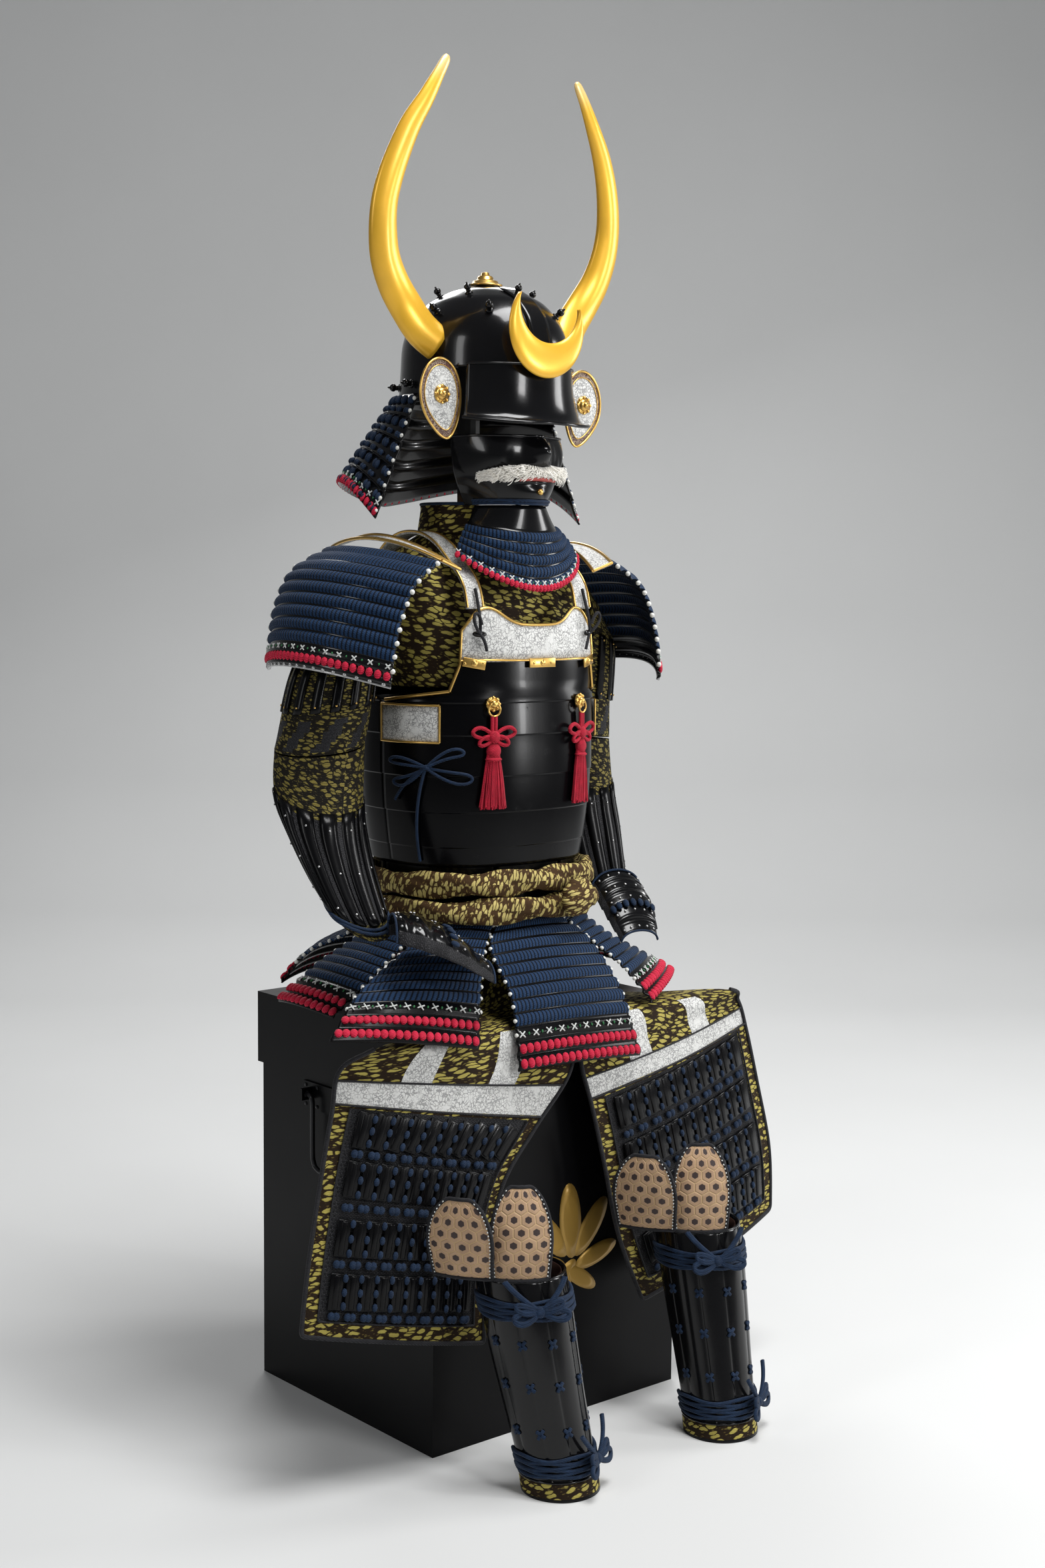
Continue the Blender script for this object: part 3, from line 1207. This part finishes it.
def edge_knots(name, panel, us, size=6.0):
    """White knots down both edges of a panel."""
    beads(name, [panel.seat(u, v, 2, (size, size, size * 0.9)) for u in us for v in (0, 1)], WHITE_BEAD)


def make_tassets():
    laced, count = 9, 12
    for name, (first, last, body) in TASSETS.items():
        foot = body[-1]
        way = Vector((foot[0] + foot[3], foot[1] + foot[4], 0)).normalized() * 0.8 + Vector((0, 0, 0.5))
        panel = Surface(edge_panel(tasset_head(first, last) + body, way), lambda p, way=way: way)
        marks = even_places(panel, 0.5, 1, count)
        middles = [mix(a, b, 0.46) for a, b in zip(marks, marks[1:])]

        def zone(u, v, marks=marks):
            row, part = row_part(u, marks)
            return 0 if 0 <= row < laced and part < LACED_PART else 1

        sheet(f"{name}_lacing", panel, steps(0, 0.42, 8) + laced_rows(marks), steps(0, 1, 44),
              [NAVY, DARK_SPLINT], thick=2, relief=puffed(marks, 4.0), zone=zone, nodes=(name,))
        wide = (Vector(foot[:3]) - Vector(foot[3:6])).length
        across = steps(0.035, 0.965, max(8, int(wide / 11.5)))
        sizes = (wide / len(across) * 0.96, 13.5, 7)
        beads(f"{name}_red_rows", [panel.seat(u, v, 4.0, sizes) for u in middles[laced + 1:] for v in across],
              HEM_RED, 10)
        cross_row(f"{name}_crosses", panel, middles[laced], across[::2], 9, 5)
        edge_knots(f"{name}_edge_knots", panel, middles[:laced + 1])


# Sash
SASH = (("sash_upper", 711.7, 151.5, 130.8, 9), ("sash_lower", 676, 156, 136, 7))


def make_sash():
    for name, z0, a, b, turns in SASH:
        def at(s, way):
            centre = rounded(a, b, 2.5, TORSO_Y, s, z0 + 3 * math.cos(s))
            out = Vector((centre.x, centre.y - TORSO_Y, 0)).normalized()
            fold = 1 + 0.16 * math.cos(2 * way + turns * s)
            crease = -0.13 * abs(math.sin(3.5 * way + turns * 1.5 * s)) ** 0.5
            return (centre + out * (math.cos(way) * 11 * (fold + crease))
                    + Vector((0, 0, math.sin(way) * 17 * (fold + crease))))

        def away(p):
            angle = math.atan2(p.x, -(p.y - TORSO_Y))
            centre = rounded(a, b, 2.5, TORSO_Y, angle, z0 + 3 * math.cos(angle))
            return p - centre

        roll = sheet(f"{name}_cloth", Surface(at, away), steps(0, TURN, 150), steps(0, TURN, 40),
                     [SASH_CLOTH], thick=0, wrap=True, nodes=(name,))
    bm = bmesh.new()
    bmesh.ops.create_uvsphere(bm, u_segments=48, v_segments=30, radius=1)
    for vert in bm.verts:
        p = vert.co
        twist = 1 - 0.12 * abs(math.sin(5 * p.z + 3 * p.x)) - 0.1 * bell(p.z, 0.16)
        p.x, p.y, p.z = p.x * 38 * twist, p.y * 12 * (1.15 - 0.2 * abs(p.z)), p.z * 28 * twist
    bmesh.ops.transform(bm, verts=bm.verts, matrix=Matrix.Diagonal((MM, MM, MM, 1)))
    bmesh.ops.rotate(bm, verts=bm.verts, matrix=Matrix.Rotation(math.radians(14), 3, "Z"), cent=(0, 0, 0))
    bmesh.ops.translate(bm, verts=bm.verts, vec=Vector((52, -163.2, 690)) * MM)
    layer = bm.loops.layers.uv.new("UVMap")
    for face in bm.faces:
        for loop in face.loops:
            loop[layer].uv = (loop.vert.co.x * 100, loop.vert.co.z * 100)
    knot = make("sash_knot_cloth", bm, [SASH_CLOTH], ("sash_knot",))


# Shoulder guards
SODE = [(-152, -124, 1128, -174, 84, 1146, 24), (-194, -130, 1100, -230, 88, 1116, 36),
        (-216, -131, 1060, -254, 90, 1074, 44), (-228, -131, 1015, -264, 90, 1030, 48),
        (-233, -129, 972, -268, 88, 988, 49)]
SODE_TOP = [(-118, -121, 1119, -134, 78, 1160, 24), (-150, -123, 1130, -172, 82, 1148, 23.6)]


def make_shoulder_guards():
    rows = 11
    marks = steps(0, 1, rows)
    for side, name in SIDES:
        way = Vector((side * 0.95, 0, 0.32))
        facing = (lambda table: table) if side == RIGHT else (lambda table: mirrored(table, 8))
        panel = Surface(edge_panel(facing(SODE), way), lambda p, way=way: way)

        def zone(u, v):
            row, part = row_part(u, marks)
            return 0 if row < 9 and part < LACED_PART else 1

        sheet(f"shoulder_guard_lacing_{name}", panel, laced_rows(marks, 7), steps(0, 1, 64), [NAVY, BLACK],
              thick=2, relief=puffed(marks, 4.4), zone=zone, nodes=(f"shoulder_guard_{name}",))
        across = steps(0.02, 0.98, 26)
        beads(f"shoulder_guard_red_{name}", [panel.seat(9.95 / rows, v, 3.8, (9.8, 12.5, 6)) for v in across],
              HEM_RED)
        cross_row(f"shoulder_guard_crosses_{name}", panel, 9.25 / rows, across[::2], 7, 4)
        studs = [panel.seat(10.72 / rows, v, 2.6, (6, 6, 3.6)) for v in steps(0.03, 0.97, 16)]
        beads(f"shoulder_guard_rivets_{name}", studs, SILVER)
        edge_knots(f"shoulder_guard_edge_knots_{name}", panel, [(i + 0.5) / rows for i in range(10)], 7.5)
        cords(f"shoulder_guard_hem_rim_{name}", [edge_route(panel, [0.995], steps(0, 1, 30), 1.0)], 1.7,
              SILVER)
        lift = Vector((side * 0.62, 0, 0.78))
        cap = Surface(edge_panel(facing(SODE_TOP), lift), lambda p, lift=lift: lift)
        sheet(f"shoulder_top_leather_{name}", cap, steps(0, 0.99, 8), steps(0, 1, 48), [PRINTED], thick=2,
              nodes=(f"shoulder_top_plate_{name}",))
        rim = [edge_route(cap, [u], steps(0, 1, 40), 0.8) for u in (0.0, 0.99)]
        rim += [edge_route(cap, steps(0, 0.99, 6), [v], 0.8) for v in (0, 1)]
        cords(f"shoulder_top_rim_{name}", rim, 2.1, GOLD)


# Arms
ARMS = {
    "right": {
        "upper": [(-177, 4, 1083, 44, 72, 0), (-196, 5, 1066, 46, 50, 0), (-211, 6, 1034, 50, 24, 0),
                  (-224, 6, 985, 55, 8, 0), (-236, 5, 935, 58, 8, 0), (-248, 3, 893, 58, 8, 4)],
        "fore": [(-248, 3, 891, 58, 8, 4), (-262, -16, 826, 57, 2, 24), (-266, -44, 776, 53, -2, 32),
                 (-264, -76, 724, 47, -4, 34), (-258, -104, 682, 40, -6, 34)],
        "hand": [(-250, -157, 668, 31, 34), (-220, -164, 660, 53, 40), (-182, -190, 642, 50, 34),
                 (-142, -212, 616, 38, 22)],
    },
    "left": {
        "upper": [(177, 4, 1083, 44, -72, 0), (195, 6, 1066, 46, -50, 0), (206, 12, 1032, 48, -20, -4),
                  (212, 22, 980, 50, -4, -6), (216, 32, 928, 51, -4, -6), (219, 38, 886, 52, -4, 0)],
        "fore": [(219, 38, 883.6, 52, -4, 0), (222, 30, 820, 51, 2, 18), (220, 10, 768, 48, 6, 24),
                 (216, -14, 718, 41, 8, 26), (211, -34, 684, 37, 8, 28)],
        "hand": [(209, -66, 678, 38, 32), (206, -90, 660, 38, 30), (199, -114, 640, 35, 25),
                 (191, -136, 618, 27, 16)],
    },
}


def sleeve_surface(rows):
    def at(u, v):
        x, y, z, r, side, fore = read(rows, u)
        ring = Vector((r * math.sin(v), -r * math.cos(v), 0))
        ring.rotate(Matrix.Rotation(-math.radians(side), 3, "Y"))
        ring.rotate(Matrix.Rotation(math.radians(fore), 3, "X"))
        return ring + Vector((x, y, z))

    line = [Vector(read(rows, i / 16)[:3]) for i in range(17)]

    def away(p):
        return p - min(line, key=lambda centre: (centre - p).length_squared)

    return Surface(at, away)


def splints(name, surface, low, high, turns, width):
    """Long narrow plates down a sleeve from low to high, each rounded across."""
    bm = bmesh.new()
    for turn in turns:
        before = len(bm.verts)
        bmesh.ops.create_grid(bm, x_segments=4, y_segments=10, size=0.5)
        bm.verts.ensure_lookup_table()
        for vert in bm.verts[before:]:
            across, down = vert.co.x * 2, vert.co.y + 0.5
            vert.co = surface.out(mix(low, high, down), turn + across * width / 2,
                                  1.2 + 2.4 * (1 - across ** 2)) * MM
    face_out(bm, surface.away)
    return shell(make(name, bm, [DARK_SPLINT]), 1.4)


def rivets(name, surface, us, turns, sizes, out, finish):
    return beads(name, [surface.seat(u, turn, out, sizes) for turn in turns for u in us], finish)


def make_arms():
    upper_turns = [i * TURN / 14 for i in range(14)]
    fore_turns = [(i + 0.31) * TURN / 12 for i in range(12)]
    for name, arm in ARMS.items():
        upper, fore = sleeve_surface(arm["upper"]), sleeve_surface(arm["fore"])
        top = sheet(f"upper_sleeve_cloth_{name}", upper, steps(0, 1, 36), steps(0, TURN, 60),
                    [DARK_BROCADE, MAIL], thick=2, wrap=True, nodes=(f"upper_sleeve_{name}",),
                    relief=lambda u, v: 1.6 * math.sin(5 * v + 9 * u) * math.sin(math.pi * u),
                    zone=lambda u, v: 1 if 0.8 < u < 0.985 and math.sin(8 * v + 20 * u) > 0.2 else 0)
        plates = splints(f"upper_splints_{name}", upper, 0.42, 0.77, upper_turns, 0.25)
        studs = rivets(f"upper_rivets_{name}", upper, (0.45, 0.74), upper_turns, (3, 3, 2), 4, GOLD)
        cut_cloth(top)
        low = sheet(f"forearm_sleeve_cloth_{name}", fore, steps(0, 1, 36), steps(0, TURN, 60),
                    [DARK_BROCADE, MAIL], thick=2, wrap=True, nodes=(f"forearm_sleeve_{name}",),
                    relief=lambda u, v: 1.0 * math.sin(6 * v + 7 * u) * math.sin(math.pi * u),
                    zone=lambda u, v: 1 if 0.24 < u < 0.86 else 0)
        plates = splints(f"forearm_splints_{name}", fore, 0.22, 0.87, fore_turns, 0.4)
        studs = rivets(f"forearm_rivets_{name}", fore, (0.3, 0.55, 0.8), fore_turns, (3, 3, 1.8), 4.2, SILVER)
        wraps = [edge_route(fore, [u], steps(0, TURN, 30), 2.4) for u in (0.9, 0.935)]
        ties = cords(f"wrist_cords_{name}", wraps, 2.2, NAVY_CORD)
        cut_cloth(low)
        make_hand(name, arm["hand"])


def make_hand(name, rows):
    along = Vector((rows[-1][0] - rows[0][0], rows[-1][1] - rows[0][1], 0)).normalized()
    across = Vector((-along.y, along.x, 0))

    def at(u, v):
        x, y, z, half, rise = read(rows, u)
        angle = v * math.pi
        return (Vector((x, y, z)) - across * (math.cos(angle) * half)
                + Vector((0, 0, abs(math.sin(angle)) ** 0.8 * rise - 8)))

    line = [Vector(read(rows, i / 12)[:3]) for i in range(13)]

    def away(p):
        return p - min(line, key=lambda centre: (centre - p).length_squared) + Vector((0, 0, 20))

    hand = Surface(at, away)
    lames = 5
    us = [min(1.0, (i + k) / lames) for i in range(lames) for k in (0.004, 0.35, 0.7, 0.996)]
    sheet(f"hand_guard_plates_{name}", hand, us, steps(0.02, 0.98, 44), [BLACK, MAIL], thick=2,
          relief=lambda u, v: (u * lames % 1) * 2.2,
          zone=lambda u, v: 1 if (v < 0.16 or v > 0.84) else 0, nodes=(f"hand_guard_{name}",))
    beads(f"hand_guard_rivets_{name}", [hand.seat((i + 0.55) / lames, v, 2.2, (3.6, 3.6, 3))
                                        for i in range(lames) for v in (0.22, 0.36, 0.5, 0.64, 0.78)], SILVER)
    rim = [edge_route(hand, [u], steps(0.03, 0.97, 24), 1.6) for u in (0.01, 0.99)]
    cords(f"hand_guard_rim_{name}", rim, 1.5, NAVY_CORD)
    beads(f"hand_guard_knots_{name}", [hand.seat(0.62, v, 4, (9, 13, 6)) for v in steps(0.2, 0.8, 6)],
          NAVY_CORD)


# Thigh guards
THIGH = {
    "right": [(-10, -112, 650, -100, -92, 644, 0), (-10, -140, 560, -130, -112, 552, 0),
              (-8, -206, 542.4, -300, -197, 542.6, 6), (-10, -222, 480, -350, -186, 520, 13),
              (-72, -224, 412, -362, -186, 470, 14), (-130, -227, 345, -378, -188, 400, 14),
              (-158, -230, 245, -400, -191, 290, 14), (-160, -230, 150, -413, -194, 206, 12)],
    "left": [(10, -112, 650, 100, -92, 644, 0), (10, -140, 560, 130, -112, 552, 0),
             (8, -206, 542.4, 296, -197, 542.6, 6), (6, -224, 480, 334, -188, 520, 13),
             (20, -230, 425, 352, -188, 476, 14), (38, -236, 345, 374, -190, 398, 14),
             (60, -240, 250, 400, -192, 298, 14), (106, -240, 150, 402, -195, 208, 12)],
}


def make_thighs():
    top, foot, inset = 0.56, 0.95, 0.07
    for name, rows in THIGH.items():
        cloth = Surface(edge_panel(rows, Vector((0, -1, 0))), lambda p: Vector((0, -1, 0.35)))

        def zone(u, v):
            if 0.475 < u < 0.545:
                return 1
            if u < 0.475 and (0.25 < v < 0.37 or 0.63 < v < 0.75) and u > 0.3:
                return 1
            return 2 if top < u < foot and inset < v < 1 - inset else 0

        us = steps(0, 0.475, 24) + steps(0.48, 0.54, 4) + steps(0.545, 1, 40)
        panel = sheet(f"thigh_guard_cloth_{name}", cloth, us, steps(0, 1, 72), [BROCADE, PRINTED, MAIL],
                      thick=2, relief=lambda u, v: 0.9 * math.sin(9 * v + 5 * u) * math.sin(math.pi * u),
                      zone=zone, nodes=(f"thigh_guard_{name}",))
        edge = [cloth.out(u, 0, 0.2) for u in steps(0.3, 1, 30)]
        edge += [cloth.out(1, v, 0.2) for v in steps(0.03, 1, 24)]
        edge += [cloth.out(u, 1, 0.2) for u in steps(0.97, 0.3, 30)]
        piping = cords(f"thigh_piping_{name}", [edge], 2.9, BLACK_CORD)
        inner = [cloth.out(u, inset, 1.4) for u in steps(top, foot, 20)]
        inner += [cloth.out(foot + 0.004, v, 1.4) for v in steps(inset, 1 - inset, 24)]
        inner += [cloth.out(u, 1 - inset, 1.4) for u in steps(foot, top, 20)]
        bands = [edge_route(cloth, [u], steps(0.005, 0.995, 30), 1.2) for u in (0.472, 0.548)]
        cords(f"thigh_inner_piping_{name}", [inner] + bands, 1.3, BLACK_CORD)
        columns = 10
        plates, knots = bmesh.new(), bmesh.new()
        marks = even_places(cloth, top, foot, 4)
        pitch = sum((cloth.at(b, 0.5) - cloth.at(a, 0.5)).length for a, b in zip(marks, marks[1:])) / 4
        for row in range(4):
            for column in range(columns):
                v = mix(inset + 0.03, 1 - inset - 0.03, (column + 0.5) / columns)
                u = mix(marks[row], marks[row + 1], 0.42)
                deep = marks[row + 1] - marks[row]
                width = (cloth.at(u, 1) - cloth.at(u, 0)).length * (1 - 2 * inset) / columns
                slab(plates, cloth.seat(u, v, 3.4, (width * 0.8, pitch * 0.7, 3.4)))
                slab(plates, cloth.seat(u, v, 5.0, (width * 0.34, pitch * 0.64, 2.8)))
                if column < columns - 1:
                    w = mix(inset + 0.03, 1 - inset - 0.03, (column + 1) / columns)
                    for shift in (-0.26, 0.0, 0.26):
                        bead(knots, cloth.seat(u + shift * deep, w, 5, (7.5, 11, 6)))
                for shift in (-0.0115, 0.0115):
                    bead(knots, cloth.seat(marks[row] + deep * 0.9, v + shift, 4, (10, 11, 7)))
        rows_of_plates = soften(make(f"thigh_plates_{name}", plates, [DARK_SPLINT]), 1.4)
        navy = make(f"thigh_knots_{name}", knots, [NAVY_CORD])
        cut_cloth(panel)


# Shins and knees
SHIN = [(140, -356, 0, 46), (142, -348, 40, 46), (146, -332, 100, 49), (150, -314, 170, 53),
        (152, -302, 220, 55), (154, -291, 262, 55)]
SHIN_WRAP, SHIN_TURN = 118, 12
TIES = (0.2, 0.83)


def make_shins():
    for side, name in SIDES:
        def at(u, v):
            x, y, z, r = read(SHIN, u)
            angle = math.radians(v * SHIN_WRAP - SHIN_TURN)
            return Vector((side * x + r * math.sin(angle), y - r * math.cos(angle), z))

        line = [read(SHIN, i / 12) for i in range(13)]

        def away(p, line=line):
            x, y, _, _ = min(line, key=lambda row: abs(row[2] - p.z))
            return Vector((p.x - side * x, p.y - y, 0))

        shin = Surface(at, away)
        count = 6

        def relief(u, v):
            place = (v + 1) / 2 * count
            part = place - math.floor(place)
            if u < 0.13:
                return 3
            return 2.4 * math.sin(math.pi * part) ** 0.45

        us = [0, 0.03, 0.06, 0.1, 0.128, 0.132] + steps(0.15, 1, 30)
        sheet(f"shin_guard_splints_{name}", shin, us, steps(-1, 1, 96), [BLACK, BROCADE, SATIN], thick=2.2,
              relief=relief, zone=lambda u, v: 2 if u < 0.035 else (1 if u < 0.13 else 0),
              nodes=(f"shin_guard_{name}",))

        def within(u, v):
            p = at(u, v)
            x, y, _, _ = read(SHIN, u)
            return p + (Vector((side * x, y, p.z)) - p).normalized() * 3.4

        lining = Surface(within, away)
        sheet(f"shin_lining_{name}", lining, steps(0.14, 0.985, 12), steps(-1, 1, 40), [BROWN_HIDE],
              thick=0.8)
        cords(f"shin_edge_{name}", [edge_route(shin, [0.995], steps(-1, 1, 40), 1.4),
                                    edge_route(shin, [0.13], steps(-1, 1, 40), 2.6)], 1.6, BLACK)
        crosses = [shin.seat(u, i / count * 2 - 1, 2.6, (4.4, 14, 3), turn)
                   for i in range(1, count) for u in (0.34, 0.5, 0.66) for turn in (0.75, -0.75)]
        slabs(f"shin_knots_{name}", crosses, NAVY_CORD, 0.8, 1)
        make_ties(name, shin)


def make_ties(name, shin):
    """Ribbon ties round each shin: flat bands with a bow and tails on the side."""
    routes = []
    knots = bmesh.new()
    for u in TIES:
        for shift in (-0.042, -0.026, -0.01, 0.006, 0.022, 0.038):
            routes.append([shin.out(u + shift + 0.006 * math.sin(v * 9 + shift * 200), v, 4.2)
                           for v in steps(-1, 1, 26)])
        v = -0.1 if u > 0.5 else 0.35
        centre = shin.out(u, v, 8)
        across, down, normal = shin.axes(u, v)
        for way, lift in ((1, 8), (-1, 10), (1, -6), (-1, -4)):
            reach = 40 if lift > 0 else 34
            loop = [centre, centre + across * way * reach * 0.5 - down * (lift + 8) + normal * 7,
                    centre + across * way * reach - down * lift + normal * 5,
                    centre + across * way * reach * 0.8 + down * 9 - down * lift + normal * 6,
                    centre + across * way * reach * 0.3 + down * 4 + normal * 4, centre]
            routes += [loop, [p + down * 2.6 for p in loop]]
        for way in (1, -1):
            tail = [centre, centre + across * way * 16 + down * 12 + normal * 5,
                    centre + across * way * 30 + down * 26 + normal * 3,
                    centre + across * way * 38 + down * 40]
            routes += [tail, [p + across * 2.4 for p in tail]]
        bead(knots, shin.seat(u, v, 9, (15, 14, 11)), 12)
    cords(f"shin_ties_{name}", routes, 2.5, NAVY_CORD)
    make(f"shin_tie_knots_{name}", knots, [NAVY_CORD])


KNEE_LOBES = (("main", -35, -45, 262.9, -36, 37, 112, -4, 8), ("outer", -85, 8, 264, -58, 41, 102, 4, 6))


def make_knees():
    top = SHIN[-1]
    for side, name in SIDES:
        for lobe, x, y, z, face, half, height, lean, bow in KNEE_LOBES:
            turn = math.radians(face)
            out = Vector((math.sin(turn), -math.cos(turn), 0))
            across = Vector((math.cos(turn), math.sin(turn), 0))

            def at(u, v):
                shape = math.sqrt(max(1 - max(0, (u - 0.45) / 0.58) ** 2, 0.001))
                shape *= mix(0.9, 1, min(u / 0.4, 1))
                return (Vector((side * top[0] + x, top[1] + y, z + u * height)) + across * (v * half * shape)
                        + out * (bow * (1 - v * v) * shape + bow * math.sin(u * 3) + lean * u * 4 - bow))

            pad = Surface(at, lambda p, out=out: out)
            leather = sheet(f"knee_guard_leather_{lobe}_{name}", pad, steps(0, 0.8, 22) + steps(0.82, 1, 12),
                            steps(-1, 1, 36), [TAN], thick=4,
                            relief=lambda u, v: 1.6 * (1 - v ** 4) * (1 - (2 * u - 1) ** 6),
                            nodes=(f"knee_guard_{lobe}_{name}",))
            ring = [pad.out(u, -1, 0) for u in steps(0.02, 0.99, 22)]
            ring += [pad.out(0.995, v, 0) for v in steps(-0.8, 0.8, 10)]
            ring += [pad.out(u, 1, 0) for u in steps(0.99, 0.02, 22)]
            foot = [pad.out(0.01, v, 0) for v in steps(-1, 1, 12)]
            cords(f"knee_piping_{lobe}_{name}", [ring, foot], 2.5, BLACK_CORD)
            stitches = [pad.seat(u, v, 2.2, (2, 2.6, 1.4))
                        for u in steps(0.05, 0.95, 20) for v in (-0.93, 0.93)]
            beads(f"knee_stitches_{lobe}_{name}", stitches, WHITE_CORD, 6)


# Tassels
STRANDS, BOSS_Z = 240, 948


def make_tassels():
    for side, name in SIDES:
        angle = side * math.radians(31)
        seat = torso_point(angle, 890, 0.2)
        beside = torso_point(angle + 0.01, 890, 0.2) - seat
        turn = Matrix.Rotation(math.atan2(beside.y, beside.x), 3, "Z")
        place = lambda x, y, z: turn @ Vector((x, y, 0)) + Vector((seat.x, seat.y, z))
        board = Surface(lambda u, v: place(v, -2, -u), lambda p: turn @ Vector((0, -1, 0)), 1, 1)
        bm = bmesh.new()
        bead(bm, board.seat(-BOSS_Z, 0, 1, (20, 20, 7)), 24)
        bead(bm, board.seat(-BOSS_Z, 0, 5, (11, 11, 9)), 16)
        for k in steps(0, TURN, 8)[:-1]:
            bead(bm, board.seat(-BOSS_Z - 8 * math.cos(k), 8 * math.sin(k), 3, (5.5, 5.5, 4)))
        make(f"ring_boss_{name}", bm, [GOLD])
        hoop = [place(8.5 * math.sin(k), -8.5, 941 + 8.5 * math.cos(k)) for k in steps(0, TURN, 14)[:-1]]
        cords(f"ring_{name}", [hoop], 1.3, GOLD, closed=True)
        routes = [[place(x, -7, 934), place(x, -8, 925), place(x, -7, 912), place(x, -6, 900)]
                  for x in (-2.4, 2.4)]
        for way in (-1, 1):
            for size, drop in ((32, 6), (22, -8)):
                routes.append([place(0, -7, 907), place(way * size * 0.5, -9, 907 + drop + 9),
                               place(way * size, -8, 909 + drop), place(way * size * 0.9, -7, 901 + drop),
                               place(way * size * 0.4, -8, 900 + drop * 0.5), place(0, -7, 904)])
        cords(f"tassel_bow_{name}", routes, 2.6, RED)
        bm = bmesh.new()
        bead(bm, board.seat(-906, 0, 6, (17, 17, 11)), 16)
        bead(bm, board.seat(-888, 0, 4.5, (20, 22, 13)), 20)
        bead(bm, board.seat(-877, 0, 4.5, (23, 7, 14)), 20)
        make(f"tassel_knots_{name}", bm, [RED])
        strands = []
        for _ in range(STRANDS):
            k, r = random.uniform(0, TURN), math.sqrt(random.random())
            x, y = r * math.cos(k), r * math.sin(k)
            end = random.uniform(812, 819)
            strands.append([place(x * 8.5, -6 + y * 4, 884), place(x * 12, -6.2 + y * 4.6, 866),
                            place(x * 16 + random.uniform(-1, 1), -6.4 + y * 4.8, 842),
                            place(x * 19 + random.uniform(-1.4, 1.4), -6.4 + y * 5, end)])
        cords(f"tassel_strands_{name}", strands, 0.85, RED, nodes=(f"tassel_{name}",), smooth=3, sides=1)


# Box
BOX_W, BOX_D, OVER = 432, 394, 5.3  # the lid's width and depth, and how far it overhangs
HANDLE_X, HANDLE_Z, HANDLE_HALF, HANDLE_DROP = 222.5, 421, 62, 100


def make_box():
    for node, finish in (("box_body", BOX_BLACK), ("box_lid", BOX_BLACK), ("stand", WOOD)):
        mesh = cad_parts[node].data
        mesh.materials.clear()
        mesh.materials.append(finish)
    for side, name in SIDES:
        bend = 16
        half, z, drop = HANDLE_HALF, HANDLE_Z, HANDLE_DROP
        route = [(half + 14, z), (half + 1, z), (half - 4, z - 3), (half - 6, z - 9),
                 (half - 6, z - drop + bend), (half - 11, z - drop + 5), (half - 6 - bend, z - drop)]
        route += [(-y, h) for y, h in reversed(route)]
        path = []
        for (ya, za), (yb, zb) in zip(route, route[1:]):
            path += [(mix(ya, yb, k / 3), mix(za, zb, k / 3)) for k in range(3)]
        path.append(route[-1])
        cords(f"drop_handle_{name}", [[(side * HANDLE_X, y, h) for y, h in path]], 3.3, IRON,
              nodes=(f"handle_{name}",), smooth=4, sides=5, body=f"handle_{name}")
        face = side * (BOX_W / 2 - OVER + 3)
        pins = [block((face, y, h), (3.2, 4.8, 4.8)) for y in (-84, -58, 58, 84) for h in (z - 17, z + 9)]
        slabs(f"handle_plate_pins_{name}", pins, IRON, 1.2)
    front = -(BOX_D / 2 - OVER) - 0.5
    surface = Surface(lambda u, v: Vector((v, front, -u)), lambda p: Vector((0, -1, 0)), 1, 1)
    leaves = ((18, 264, 40, 108, 4), (-18, 252, 34, 94, 42), (54, 250, 34, 94, -38), (-28, 212, 28, 80, 78),
              (64, 210, 28, 80, -74), (2, 188, 24, 70, 130), (36, 184, 24, 70, -124), (18, 164, 8, 80, 4))
    beads("box_ornament", [surface.seat(-z, x, 0.2, (wide, tall, 2.2), math.radians(turn))
                           for x, z, wide, tall, turn in leaves], ORNAMENT, 24)


for build in (make_bowl, make_peak, make_top_fitting, make_neck_guard, make_turn_backs, make_horns,
              make_crescent, make_face, make_cuirass, make_straps, make_vest, make_tassets, make_sash,
              make_shoulder_guards, make_arms, make_thighs, make_shins, make_knees, make_tassels, make_box):
    build()
